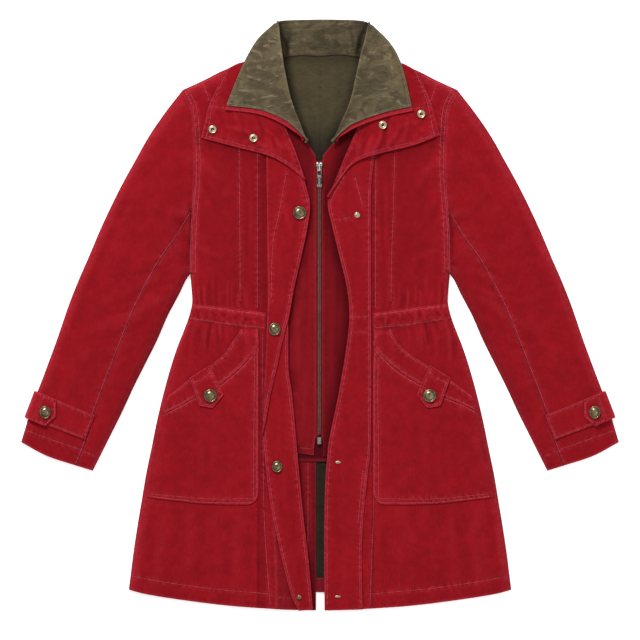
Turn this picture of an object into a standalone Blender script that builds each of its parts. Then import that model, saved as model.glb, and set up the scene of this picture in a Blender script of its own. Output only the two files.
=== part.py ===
"""A thigh-length anorak of washed red canvas, laid flat on its back with its front up.

The frame: metres, +Z up from the surface it lies on, +Y towards the collar, and the
origin on that surface under the middle of the coat. Tables and named sizes are in
millimetres. "right" and "left" are the wearer's: the right half lies at negative X.
The coat is worked as sheets: each is a four-sided patch between edge curves, given a
height over the surface and then a wall.
"""
import math

import bpy
import bmesh
import numpy as np

MM = 0.001

# ---- driving sizes ---------------------------------------------------------------
SEAM_GAP = 0.25            # half of the gap that is left between two sewn panels
EDGE_Z = 3.8               # top of the front cloth where it folds down at an outer edge
ROLL = 14.0                # width over which a side or sleeve edge rounds over
BODY_Z = 9.2               # top of the front cloth over the ribs and skirt
CENTRE_Z = 10.6            # the same beside the front opening, over the inner layers
SLEEVE_LOFT = 1.4          # how far the middle of a sleeve swells
HEM_DROP = 2.0             # how far the cloth settles at the hem
CUFF_DROP = 3.3            # and at the cuffs
BACK_WALL = 2.0
FRONT_WALL = 1.6
LINING_WALL = 1.0
BAND_WALL = 1.8
PATCH_WALL = 1.4
ON_TOP = 0.45              # clear gap between a panel and what is sewn on it
LINING_Z = BACK_WALL + 0.3 + LINING_WALL
UNDERLAP_Z = 5.1           # under-placket of the right front, at its free edge
GUARD_Z = 6.8              # strip of cloth behind the zip
VEST_Z = 8.6               # zipped inner panels
VEST_WALL = 1.3
FLAP_Z = 12.9              # storm flap and left placket, over the inner panels
FLAP_HEM_Z = 9.6           # the same at the free edges, below the inner panels
LAPEL_Z = 11.9             # outer collar where it lies on the fronts
LAPEL_RISE = 4.2           # what it climbs to lie over the storm flap and placket
LAPEL_WALL = 2.0
LEAF_Z = 16.5              # free corner of the inner collar, turned out over the lapel
LEAF_CREST_Z = 31.0        # where the inner collar rolls over at the neck
LEAF_WALL = 1.2

CAP_RADIUS = 10.8          # domed snap caps of storm flap, pockets and cuffs
CAP_HEIGHT = 4.4
SOCKET_RADIUS = 6.8        # ring-shaped snap sockets under the collar
STUD_RADIUS = 4.6

CHAIN_X = -1.1             # middle of the zip
CHAIN_HALF = 2.6
CHAIN_Z = 10.4
SLIDER_Y = (229.4, 246.0)
SLIDER_HALF = 5.4
SLIDER_BASE_Z = (10.7, 13.3)
BRIDGE_TOP_Z = 17.6
PIVOT_Y = 232.6            # hinge of the pull tab, inside the slider's bridge
PIVOT_Z = 14.9
PULL_REST = 6.0            # degrees below level at which the pull tab rests
PULL_LENGTH = 28.0
PULL_HALF = 4.3
PULL_WALL = 1.4
PULL_EYE = (1.0, 8.4)      # the eye starts and ends this far from the hinge
PULL_EYE_HALF = 2.5

# ---- outline of half the coat (x from the centre line, y towards the collar) -------
SHOULDER = [  # x, y from the neck to the sleeve head
    (125, 402), (156, 388), (188, 374), (220, 361)]
SLEEVE_OUTER = [  # x, y from the sleeve head to the cuff
    (221.6, 359), (248, 325), (274, 287), (296, 248), (317, 210), (336, 172), (354, 133),
    (370, 95), (387, 56), (402, 18), (422, -40), (443, -97), (461, -145), (479, -203)]
SLEEVE_INNER = [  # x, y from the underarm to the cuff
    (208, 66), (215, 56), (224, 37), (234, 18), (244, -1), (261, -40), (280, -78),
    (299, -116), (317, -155), (336, -193), (364, -249)]
CUFF = [  # x, y from the outer to the inner corner
    (479, -203), (438, -225), (390, -241), (364, -249)]
ARMHOLE = [  # x, y from the sleeve head to the underarm
    (220, 361), (206, 332), (202, 298), (200, 237), (202, 199), (205, 164), (207, 115),
    (208, 66)]
SIDE = [  # x, y from the underarm to the hem
    (208, 66), (206, 42), (205, 20), (210, -2), (218, -24), (229, -52), (240, -86),
    (251, -126), (261, -168), (270, -212), (279, -256), (286, -298), (293, -340),
    (299, -380), (303, -412), (306.5, -439.5)]
HEM = [  # x, y of the front hem from the side to the middle
    (306.5, -439.5), (282, -446), (224, -455.5), (147, -465), (70, -470.6), (0, -473)]
BACK_HEM_Y = -443.8        # the back is cut straight and a little shorter
FOREARM_SEAM = [  # x, y from the armhole to the cuff
    (205, 164), (230, 124), (258, 84), (296, 12), (325, -60), (363, -160), (374, -200),
    (390, -241)]
BACK_NECK = [  # x, y across the back from one shoulder to the other
    (-125, 402), (-90, 410), (-60, 413.5), (0, 412), (60, 413.5), (90, 410), (125, 402)]

# ---- centre front -----------------------------------------------------------------
RIGHT_FRONT_EDGE = [  # x, y, neck to hem, under the storm flap
    (-125, 402), (-104, 345), (-86, 290), (-80, 200), (-80, -190), (-79, -250),
    (-74, -330), (-70, -400), (-69, -470.6)]
LEFT_FRONT_EDGE = [  # x, y, neck to hem, under the placket
    (125, 402), (104, 345), (84, 290), (75, 200), (75, -190), (70, -300), (64, -380),
    (62, -470.8)]
FLAP_SEAM = [  # x, y, left side of the storm flap where it is sewn to the right front
    (-86, 262), (-85, 190), (-84, 100), (-83, 40), (-85, -24), (-88, -88), (-91, -150),
    (-92, -192)]
FLAP_FREE = [  # x, y, free edge of its upper part, which ends on the lower strip
    (-20, 250), (-21, 214), (-16, 180), (-19, 146), (-31, 88), (-42, 40), (-50, -4),
    (-55, -22), (-68, -81), (-78, -123), (-86, -167), (-92, -192)]
STRIP_SEAM = [  # x, y, sewn side of the lower strip
    (-84, 10), (-85, -24), (-88, -88), (-91, -150), (-91, -192), (-86, -251),
    (-79, -305), (-69, -354), (-58, -403), (-45, -451), (-34, -473)]
STRIP_FREE = [  # x, y, its free edge
    (-54, 10), (-51, -12), (-50, -88), (-45, -123), (-37, -209), (-30, -287),
    (-24, -343), (-18.5, -390), (-11, -471)]
UNDERLAP_SEAM = [  # x, y, sewn side of the under-placket
    (-79.4, -190), (-78.4, -250), (-73.4, -330), (-69.4, -400), (-68.4, -470.6)]
PLACKET_FREE = [  # x, y, free edge of the left placket
    (38, 262), (27, 222), (12, 180), (20, 140), (32.6, 88), (42.7, 45), (47, 0),
    (42.7, -47), (30, -124), (14.4, -200), (11, -231), (8.5, -264), (6.8, -337),
    (7, -472.8)]
PLACKET_SEAM = [  # x, y, its sewn side
    (88, 262), (82, 200), (81.6, 100), (81.6, -200), (76, -260), (70.4, -315), (67, -383),
    (68.5, -470.8)]
VEST_RIGHT_SIDE = [(-72, 300), (-90, 215), (-92, 60), (-88, -60), (-58, -160), (-42, -220)]
VEST_RIGHT_ZIP = [(-7, 256), (-6.4, 150), (-6.4, -190), (-9.2, -210), (-9.4, -224.5)]
VEST_LEFT_SIDE = [(72, 300), (88, 215), (90, 60), (88, -60), (86, -150), (82, -224)]
VEST_LEFT_ZIP = [(4, 256), (3.4, 150), (3.4, -190), (5, -210), (5, -226)]

# ---- collars ----------------------------------------------------------------------
LAPEL_RIGHT = {  # outer collar, spread on the right front: four edges, top edge first
    "top": [(-150, 395), (-125, 404), (-84, 402)],
    "outer": [(-150, 395), (-164, 366), (-178, 336), (-184, 310), (-191, 284)],
    "bottom": [(-191, 284), (-131, 268), (-82, 255), (-52, 239), (-23, 215)],
    "inner": [(-84, 402), (-68, 350), (-55, 301), (-39, 262), (-23, 215)]}
LAPEL_LEFT = {
    "top": [(156, 392), (129, 408), (88, 404)],
    "outer": [(156, 392), (167, 366), (178, 340), (186, 312), (192, 288)],
    "bottom": [(192, 288), (150, 272), (90, 257), (53, 242), (26, 208), (12, 186)],
    "inner": [(88, 404), (74, 350), (61, 304), (43, 262), (27, 223), (12, 186)]}
LEAF_RIGHT = {  # inner collar, turned out over the outer one
    "top": [(-73, 469), (-66, 472)],
    "outer": [(-73, 469), (-99, 444), (-118, 412), (-134, 376), (-150, 335.5)],
    "bottom": [(-150, 335.5), (-94, 328), (-55, 311), (-26, 284), (-5, 250)],
    "inner": [(-66, 472), (-63, 440), (-60, 418), (-55, 387), (-45, 343), (-26, 294),
              (-5, 250)]}
LEAF_LEFT = {
    "top": [(84, 466), (77, 470)],
    "outer": [(84, 466), (106, 444), (122, 421), (134, 390), (147, 334)],
    "bottom": [(147, 334), (102, 324), (53, 306), (21, 277), (4, 250)],
    "inner": [(77, 470), (71, 440), (65, 418), (58, 387), (48, 343), (29, 294), (4, 250)]}
LEAF_SECTION = [  # share of the way to the neck roll, share of the rise, round the roll
    (0.0, 0.0), (0.22, 0.08), (0.45, 0.24), (0.66, 0.52), (0.82, 0.80), (0.93, 0.97),
    (0.985, 0.99), (1.0, 0.80), (0.992, 0.30), (0.975, -0.55), (0.965, -0.95)]
LEAF_UNDER_SHOWS = 7.0     # how far the red underside shows past the olive leaf
STAND_NECK = [(-55, 414), (-30, 416.5), (0, 415.5), (32, 417.5), (60, 414)]
STAND_TOP = [(-62, 470), (-40, 472), (5, 473), (50, 472), (73, 470)]
STAND_SECTION = [  # share from neck to top edge, height of the olive face
    (0.0, 5.2), (0.2, 7.6), (0.45, 13.0), (0.7, 17.6), (0.9, 20.4), (1.0, 21.0)]

# ---- pockets ----------------------------------------------------------------------
POCKET_BOTTOM_Y = (-303, -291)      # at the front edge and at the side seam
POCKET_CORNER = 19.0
MOUTH = {  # x from the centre line, y: the pocket's upper edge and the band's line
    "right": {"upper": [(129, -27), (136, -36), (151, -59), (173, -78), (210, -103),
                        (243, -129)],
              "lower": [(98.4, -49), (119, -76), (139, -95), (161, -112), (198, -131),
                        (227, -147), (254, -160)],
              "edge_x": 98.4},
    "left": {"upper": [(115, -27), (135, -55), (169, -78), (208, -103), (243, -129)],
             "lower": [(86, -51), (106, -73), (130, -93), (157, -109), (198, -131),
                       (228, -143), (254, -156)],
             "edge_x": 84.8}}
POCKET_TAB = [  # x from the centre line, y: base corners, shoulders and point
    (209, -100), (176, -79), (154, -127), (172, -149), (193, -145)]
POCKET_CAP = (175.5, -128.5)

# ---- waist casing -----------------------------------------------------------------
CASING_TOP = [(205, 18.5), (170, 15), (128, 10), (86, 4)]
CASING_BOTTOM = [(210.5, -8), (170, -14), (133, -19.5), (86, -23.5)]
CASING_GATHERS = 13
CASING_WAVE = 0.7

# ---- cuffs ------------------------------------------------------------------------
STRAP = {  # x from the centre line, y
    "outer_top": (455.5, -121), "outer_bottom": (471.5, -163),
    "inner_top": (360.5, -160), "inner_bottom": (376, -199)}
KEEPER_WIDTH = 14.5         # the keeper that holds the strap at the outer edge
KEEPER_PAST = 2.2           # how far it reaches past the strap's edge to wrap it
STRAP_LEVEL_X = 430.0       # past this the strap rounds over, whatever the cuff does
STRAP_ROLL = 17.0
STRAP_LEAN = -0.381         # how its outer edge moves sideways as it goes down
KEEPER_GAP = 0.7            # clear gap between it and the tab that starts there
CUFF_TAB = [(443, -127), (422, -135), (422.5, -162), (440, -177.5), (458, -170)]
CUFF_CAP = (439.5, -155)

# ---- soft folds: start x, y, end x, y, half width, height (wearer's right, mirrored) --
FOLDS = [
    (219, 150, 214, 84, 9, -2.2),       # hollow where the sleeve drops beside the body
    (232, 165, 262, 96, 14, 1.2),
    (250, 60, 330, 10, 13, -1.0),       # creases inside the elbow
    (262, 25, 345, -20, 11, 0.9),
    (300, 190, 330, 90, 16, 0.8),
    (345, 95, 385, -20, 15, -0.9),
    (372, -60, 408, -130, 13, 0.8),
    (200, 250, 150, 200, 15, 0.9),      # drag from the armhole
    (188, 120, 172, 30, 11, 0.8),
    (196, -20, 228, -150, 13, 1.0),     # folds that fall from the gathers
    (170, -25, 150, -60, 10, 0.8),
    (120, -25, 128, -70, 10, -0.8),
    (246, -190, 262, -420, 17, 1.1),
    (190, -320, 196, -450, 16, -0.9),
    (130, -315, 134, -460, 16, 0.9),
    (225, -320, 236, -440, 14, -0.8),
]
SHOULDER_ROLL_ROWS = (0.9, 5.0, 12.0)
WAIST_Y = -5.0
WAIST_PLEATS = 4
WAIST_PLEAT_DEPTH = 0.8

RED = (0.30, 0.014, 0.022)
DARK_RED = (0.16, 0.008, 0.014)
OLIVE = (0.115, 0.092, 0.050)
LINING = (0.060, 0.050, 0.028)
BRASS = (0.22, 0.17, 0.085)
BRONZE = (0.10, 0.075, 0.05)
STEEL = (0.55, 0.54, 0.52)


# ---- curves and patches -------------------------------------------------------------
def curve(points):
    """A smooth line through the points, as a function of 0 to 1 along its length."""
    p = np.asarray(points, float)
    s = np.concatenate([[0.0], np.cumsum(np.hypot(*np.diff(p, axis=0).T))])
    s /= s[-1]
    if len(p) > 2:
        inner = (p[2:] - p[:-2]) / (s[2:] - s[:-2])[:, None]
        first = (p[1] - p[0]) / (s[1] - s[0])
        last = (p[-1] - p[-2]) / (s[-1] - s[-2])
        slope = np.vstack([first, inner, last])
    else:
        slope = np.repeat((p[1] - p[0])[None, :], 2, axis=0)

    def at(t):
        t = np.clip(np.asarray(t, float), 0.0, 1.0)
        k = np.clip(np.searchsorted(s, t, side="right") - 1, 0, len(p) - 2)
        h = s[k + 1] - s[k]
        q = ((t - s[k]) / h)[..., None]
        h = h[..., None]
        return ((2 * q ** 3 - 3 * q ** 2 + 1) * p[k] + (q ** 3 - 2 * q ** 2 + q) * h * slope[k]
                + (3 * q ** 2 - 2 * q ** 3) * p[k + 1] + (q ** 3 - q ** 2) * h * slope[k + 1])
    return at


def line(points):
    """Straight runs between the points, as a function of 0 to 1 along its length."""
    p = np.asarray(points, float)
    s = np.array(shares(points))
    return lambda t: np.stack([np.interp(t, s, p[:, 0]), np.interp(t, s, p[:, 1])], axis=-1)


def shares(points, halves=False):
    """Where the points lie along their line, from 0 to 1, with the midpoints if asked."""
    p = np.asarray(points, float)
    s = np.concatenate([[0.0], np.cumsum(np.hypot(*np.diff(p, axis=0).T))])
    s /= s[-1]
    return np.sort(np.concatenate([s, (s[1:] + s[:-1]) / 2])) if halves else s


def mirrored(points, side):
    """The same table for the wearer's right (side -1) or left (side +1)."""
    return [(side * x, y) for x, y in points]


def patch(left, right, top, bottom):
    """A four-sided patch: u runs from left to right, v from top to bottom."""
    left, right, top, bottom = (edge if callable(edge) else curve(edge)
                                for edge in (left, right, top, bottom))
    corners = (left(0.0) + top(0.0)) / 2, (right(0.0) + top(1.0)) / 2, \
              (left(1.0) + bottom(0.0)) / 2, (right(1.0) + bottom(1.0)) / 2

    def at(u, v):
        a, b = u[..., None], v[..., None]
        sides = (1 - a) * left(v) + a * right(v) + (1 - b) * top(u) + b * bottom(u)
        flat = ((1 - b) * ((1 - a) * corners[0] + a * corners[1])
                + b * ((1 - a) * corners[2] + a * corners[3]))
        return sides - flat
    return at


def stations(count, length, near_start=(), near_end=()):
    """Shares of a length: evenly spaced, with extra lines at set distances from its ends."""
    first = [d / length for d in near_start]
    last = [1 - d / length for d in reversed(near_end)]
    low = first[-1] if first else 0.0
    high = last[0] if last else 1.0
    middle = list(np.linspace(low, high, count + 1))
    return np.array(sorted(set(first[:-1] + middle + last[1:] + [0.0, 1.0])))


# ---- heights ------------------------------------------------------------------------
def smooth(value, low, high):
    t = np.clip((value - low) / (high - low), 0.0, 1.0)
    return t * t * (3 - 2 * t)


def distance_to(points, x, y):
    """Distance from each place to a line through the points."""
    p = np.asarray(points, float)
    best = np.full(np.shape(x), 1e9)
    for (ax, ay), (bx, by) in zip(p[:-1], p[1:]):
        dx, dy = bx - ax, by - ay
        t = np.clip(((x - ax) * dx + (y - ay) * dy) / (dx * dx + dy * dy), 0.0, 1.0)
        best = np.minimum(best, np.hypot(x - ax - t * dx, y - ay - t * dy))
    return best


FOLDED_EDGES = [SHOULDER, SLEEVE_OUTER, SLEEVE_INNER, SIDE]
SEAMS = [ARMHOLE, FOREARM_SEAM]


def roll(distance, width=ROLL):
    """0 at a folded edge, 1 where the cloth lies level: a quarter of an ellipse."""
    t = 1 - np.clip(distance / width, 0.0, 1.0)
    return np.sqrt(1 - t * t)


def front_top(x, y):
    """Height of the red front and sleeve cloth at a place."""
    x = np.abs(x)
    edge = np.min([distance_to(line, x, y) for line in FOLDED_EDGES], axis=0)
    z = BODY_Z + (CENTRE_Z - BODY_Z) * smooth(-x, -165, -92)
    z = z + SLEEVE_LOFT * smooth(edge, 10, 60) * smooth(x, 215, 290)
    z = z - HEM_DROP * smooth(-y, 380, 460) * smooth(x, 80, 160)
    z = z - CUFF_DROP * smooth(-distance_to(CUFF, x, y), -60, 0)
    for seam in SEAMS:
        z = z - 0.9 * np.exp(-(distance_to(seam, x, y) / 5.0) ** 2)
    for ax, ay, bx, by, width, height in FOLDS:
        off = distance_to([(ax, ay), (bx, by)], x, y) / width
        z = z + height * np.exp(-off * off)
    off = (y - WAIST_Y) ** 2
    near_waist = (np.exp(-off / 42.0 ** 2) - np.exp(-off / 17.0 ** 2)) * smooth(x, 84, 100)
    wave = np.cos(2 * math.pi * WAIST_PLEATS * (x - 90) / 120 + 0.9 * np.sin(x / 17.0))
    z = z + WAIST_PLEAT_DEPTH * near_waist * wave * smooth(-x, -205, -185)
    return EDGE_Z + (z - EDGE_Z) * roll(edge)


def casing_top(x, y, u, v):
    """The waist casing, drawn up on its cord: irregular gathers over the front."""
    calm = front_top(x, y)
    wave = np.sin(2 * math.pi * (CASING_GATHERS * u + 0.25 * np.sin(9 * u)))
    crown = np.sin(math.pi * np.clip(v, 0, 1)) ** 0.6
    return calm + PATCH_WALL + ON_TOP + 0.4 + CASING_WAVE * (0.3 + 0.7 * crown) * (1 + wave)


def flap_top(x, y, free_x):
    """Storm flap and placket: level over the inner panels, settling below them."""
    low = smooth(-y, 235, 300)
    toward_free = smooth(-np.abs(x - free_x), -46, -4)
    return FLAP_Z - (FLAP_Z - FLAP_HEM_Z) * low * toward_free


# ---- solids -------------------------------------------------------------------------
def material(name, rgb, roughness, metallic=0.0):
    found = bpy.data.materials.get(name)
    if found:
        return found
    made = bpy.data.materials.new(name)
    made.use_nodes = True
    shader = made.node_tree.nodes["Principled BSDF"]
    shader.inputs["Base Color"].default_value = (*rgb, 1)
    shader.inputs["Roughness"].default_value = roughness
    shader.inputs["Metallic"].default_value = metallic
    return made


def paint(obj, name, rgb, roughness=0.85, metallic=0.0):
    obj.data.materials.append(material(name, rgb, roughness, metallic))


def add_object(name, mesh, collection):
    obj = bpy.data.objects.new(name, mesh)
    collection.objects.link(obj)
    return obj


def sheet(name, place, columns, rows, height, wall, colour, faces_up=True):
    """A wall of cloth: a grid over the patch at its height, thickened by Solidify."""
    u, v = np.meshgrid(columns, rows)
    plan = place(u, v)
    x, y = plan[..., 0], plan[..., 1]
    z = height(x, y, u, v)
    points = np.stack([x, y, z], axis=-1).reshape(-1, 3) * MM
    wide = len(columns)
    faces = [(r * wide + c, (r + 1) * wide + c, (r + 1) * wide + c + 1, r * wide + c + 1)
             for r in range(len(rows) - 1) for c in range(wide - 1)]
    a, b, c, d = (points[i] for i in faces[len(faces) // 2])
    if (np.cross(c - a, d - b)[2] > 0) != faces_up:
        faces = [tuple(reversed(face)) for face in faces]
    mesh = bpy.data.meshes.new(name)
    mesh.from_pydata(points.tolist(), [], faces)
    obj = add_object(name, mesh, CLOTH)
    thicken = obj.modifiers.new("wall", "SOLIDIFY")
    thicken.thickness = wall * MM
    thicken.offset = -1
    thicken.use_even_offset = False
    paint(obj, *colour)
    return obj


def turned(name, profile, at, steps, colour):
    """A turned piece from (radius, height) rows, listed from its top to its foot."""
    mesh = bpy.data.meshes.new(name)
    rows = [(r * MM, 0.0, z * MM) for r, z in profile]
    mesh.from_pydata(rows, [(i, i + 1) for i in range(len(rows) - 1)], [])
    obj = add_object(name, mesh, HARDWARE)
    spin = obj.modifiers.new("turn", "SCREW")
    spin.steps = spin.render_steps = steps
    spin.use_merge_vertices = True
    spin.merge_threshold = 0.00001
    obj.location = tuple(value * MM for value in at)
    paint(obj, *colour)
    return obj


def top_of(obj, x, y):
    """Highest point of an object's evaluated mesh near a place, in millimetres."""
    graph = bpy.context.evaluated_depsgraph_get()
    shape = obj.evaluated_get(graph)
    hit, where, _, _ = shape.ray_cast((x * MM, y * MM, 0.2), (0, 0, -1))
    return where.z / MM if hit else None


CAP_PROFILE = [(0, CAP_HEIGHT), (4.2, CAP_HEIGHT - 0.3), (7.4, CAP_HEIGHT - 1.3),
               (8.6, CAP_HEIGHT - 2.1), (9.4, CAP_HEIGHT - 1.7), (CAP_RADIUS, 1.6),
               (CAP_RADIUS, 0), (0, 0)]
SOCKET_PROFILE = [(2.0, 0.9), (2.6, 2.2), (5.2, 2.2), (SOCKET_RADIUS, 1.2),
                  (SOCKET_RADIUS, 0), (2.0, 0), (2.0, 0.9)]
STUD_PROFILE = [(0, 2.4), (1.6, 2.3), (2.0, 1.2), (STUD_RADIUS, 0.9), (STUD_RADIUS, 0),
                (0, 0)]


def seated(name, profile, place, carriers, steps, colour):
    """A snap part on the highest of what carries it, 0.3 mm clear."""
    reach = max(r for r, _ in profile)
    heights = []
    for carrier in carriers:
        for turn in range(12):
            angle = 2 * math.pi * turn / 12
            for share in (0.0, 0.5, 1.0):
                z = top_of(carrier, place[0] + share * reach * math.cos(angle),
                           place[1] + share * reach * math.sin(angle))
                if z is not None:
                    heights.append(z)
    return turned(name, profile, (place[0], place[1], max(heights) + 0.3), steps, colour)


# ---- the coat -----------------------------------------------------------------------
def side_name(side):
    return "right" if side < 0 else "left"


def inset(points, dx):
    return [(x + dx, y) for x, y in points]


def make_back():
    """Outer back with its lining and turned hem: the flat underside of the coat."""
    left = mirrored(ARMHOLE[:-1] + SIDE, -1)
    right = mirrored(ARMHOLE[:-1] + SIDE, 1)
    top = mirrored(SHOULDER, -1)[::-1] + BACK_NECK[1:-1] + SHOULDER
    bottom = [(-306.5, -439.5), (-150, BACK_HEM_Y + 1), (0, BACK_HEM_Y),
              (150, BACK_HEM_Y + 1), (306.5, -439.5)]
    place = patch(line(inset(left, SEAM_GAP)), line(inset(right, -SEAM_GAP)), top, bottom)
    sheet("back_panel", place, stations(8, 420), shares(right),
          lambda x, y, u, v: 0 * x, BACK_WALL, ("red canvas", RED), faces_up=False)
    lining = patch([(-74, 407), (-62, 200), (-52, -420)], [(74, 407), (62, 200), (52, -420)],
                   [(-74, 407), (0, 411.2), (74, 407)], [(-52, -420), (52, -420)])
    sheet("back_lining", lining, stations(4, 120), stations(10, 820),
          lambda x, y, u, v: LINING_Z + 0 * x, LINING_WALL, ("lining cloth", LINING))
    facing = patch([(-72, -420.6), (-72, -443)], [(72, -420.6), (72, -443)],
                   [(-72, -420.6), (72, -420.6)], [(-72, -443), (72, -443)])
    sheet("back_hem_facing", facing, stations(6, 144), stations(2, 22),
          lambda x, y, u, v: LINING_Z + 0.3 + 0 * x, LINING_WALL + 0.2,
          ("hem facing", DARK_RED))


def make_front(side):
    outer = mirrored(ARMHOLE[:-1] + SIDE, side)
    inner = RIGHT_FRONT_EDGE if side < 0 else LEFT_FRONT_EDGE
    top = mirrored(SHOULDER, side)[::-1]
    hem = [point for point in mirrored(HEM, side) if abs(point[0]) > abs(inner[-1][0]) + 10]
    place = patch(line(inset(outer, -side * SEAM_GAP)), inner, top, hem + [inner[-1]])
    columns = stations(9, 170, (0, 0.9, 5, 12))
    rows = np.sort(np.concatenate([shares(outer), np.array(SHOULDER_ROLL_ROWS) / 860]))
    sheet(side_name(side) + "_front", place, columns, rows,
          lambda x, y, u, v: front_top(x, y), FRONT_WALL, ("red canvas", RED))


def make_sleeve(side):
    """A sleeve in three cuts: outer and inner halves in front, and the under side."""
    name = side_name(side)
    split = ARMHOLE.index((205, 164))
    cuff_split = CUFF.index((390, -241))
    out = inset(mirrored(ARMHOLE, side), side * SEAM_GAP)
    out[0] = mirrored(SLEEVE_OUTER[:1], side)[0]
    seam = mirrored(FOREARM_SEAM, side)
    rows = np.sort(np.append(shares(FOREARM_SEAM, halves=True), 0.012))
    head = out[:split + 1]
    outer_place = patch(mirrored(SLEEVE_OUTER, side), line(inset(seam, side * SEAM_GAP)),
                        line(head), mirrored(CUFF[:cuff_split + 1], side))
    columns = np.sort(np.append(shares(head)[1:], [0.0, 0.006, 0.035, 0.085, 0.97]))
    sheet(name + "_sleeve_outer", outer_place, columns, rows,
          lambda x, y, u, v: front_top(x, y), FRONT_WALL, ("red canvas", RED))
    inner_place = patch(line(inset(seam, -side * SEAM_GAP)), mirrored(SLEEVE_INNER, side),
                        line(out[split:]), mirrored(CUFF[cuff_split:], side))
    columns = np.sort(np.append(shares(out[split:]), [0.1, 0.8, 0.93, 0.985]))
    sheet(name + "_sleeve_inner", inner_place, columns, rows,
          lambda x, y, u, v: front_top(x, y), FRONT_WALL, ("red canvas", RED))
    under_place = patch(mirrored(SLEEVE_OUTER, side), mirrored(SLEEVE_INNER, side),
                        line(out), mirrored(CUFF, side))
    sheet(name + "_sleeve_under", under_place, shares(out), stations(12, 600),
          lambda x, y, u, v: 0 * x, BACK_WALL, ("red canvas", RED), faces_up=False)


def make_casing(side):
    inner_x = 86.0 if side < 0 else 84.5
    clip = lambda table: [p for p in table if p[0] > inner_x + 1]
    top = mirrored(clip(CASING_TOP) + [(inner_x, 4)], side)
    bottom = mirrored(clip(CASING_BOTTOM) + [(inner_x, -23.5)], side)
    end_out = mirrored([(205, 18.5), (207, 6), (210.5, -8)], side)
    end_in = mirrored([(inner_x, 4), (inner_x, -23.5)], side)
    place = patch(end_out, end_in, top, bottom)
    columns = np.concatenate([[0.0, 0.008, 0.035, 0.07],
                              np.linspace(0.11, 1.0, 3 * CASING_GATHERS)])
    return sheet(side_name(side) + "_waist_casing", place, columns,
                 np.array([0.0, 0.3, 0.7, 1.0]), casing_top, PATCH_WALL,
                 ("red canvas", RED))


def on_front(extra, wall=PATCH_WALL):
    """Height of a piece sewn on the front: the panel's points, moved out."""
    return lambda x, y, u, v: front_top(x, y) + ON_TOP + wall + extra


def make_pocket(side):
    """A patch pocket with a rounded corner, the band of its mouth, and a tab."""
    name = side_name(side)
    table = MOUTH[name]
    edge_x = table["edge_x"]
    low, low_side = POCKET_BOTTOM_Y
    arc = [(edge_x + POCKET_CORNER * (1 - math.cos(math.radians(a))),
            low + POCKET_CORNER * (1 - math.sin(math.radians(a)))) for a in (0, 22, 45)]
    arc_low = [(edge_x + POCKET_CORNER * (1 - math.cos(math.radians(a))),
                low + POCKET_CORNER * (1 - math.sin(math.radians(a)))) for a in (45, 68, 90)]
    lower = table["lower"]
    inner = [lower[0], (edge_x, -110), (edge_x, -190), (edge_x, -250)] + arc
    bottom = arc_low + [(180, low + 1), (230, (low + low_side) / 2), (278, low_side)]
    outer = [lower[-1], (258, -180), (266, -212), (273, -251), (278, low_side)]
    place = patch(mirrored(inner, side), mirrored(outer, side), mirrored(lower, side),
                  mirrored(bottom, side))
    sheet(name + "_pocket", place, stations(7, 160, (0, 6), (8, 3, 0)), stations(8, 200),
          on_front(0.1), PATCH_WALL, ("red canvas", RED))
    upper = table["upper"]
    band = patch(mirrored([upper[0], (lower[0][0] + 0.3, lower[0][1] + 0.6)], side),
                 mirrored([upper[-1], (lower[-1][0], lower[-1][1] + 0.6)], side),
                 mirrored(upper, side),
                 mirrored([(px, py + 0.6) for px, py in lower], side))
    sheet(name + "_pocket_band", band, stations(10, 190, (), (8, 3, 0)), stations(2, 30),
          on_front(0.8), PATCH_WALL, ("red canvas", RED))
    tab_outer, tab_inner, shoulder_in, point, shoulder_out = POCKET_TAB
    tab = patch(mirrored([tab_outer, shoulder_out], side), mirrored([tab_inner, shoulder_in], side),
                mirrored([tab_outer, tab_inner], side),
                [mirrored([p], side)[0] for p in (shoulder_out, point, shoulder_in)])
    return sheet(name + "_pocket_tab", tab, np.linspace(0, 1, 5), np.linspace(0, 1, 5),
                 on_front(PATCH_WALL + 1.7), PATCH_WALL, ("red canvas", RED))


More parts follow.
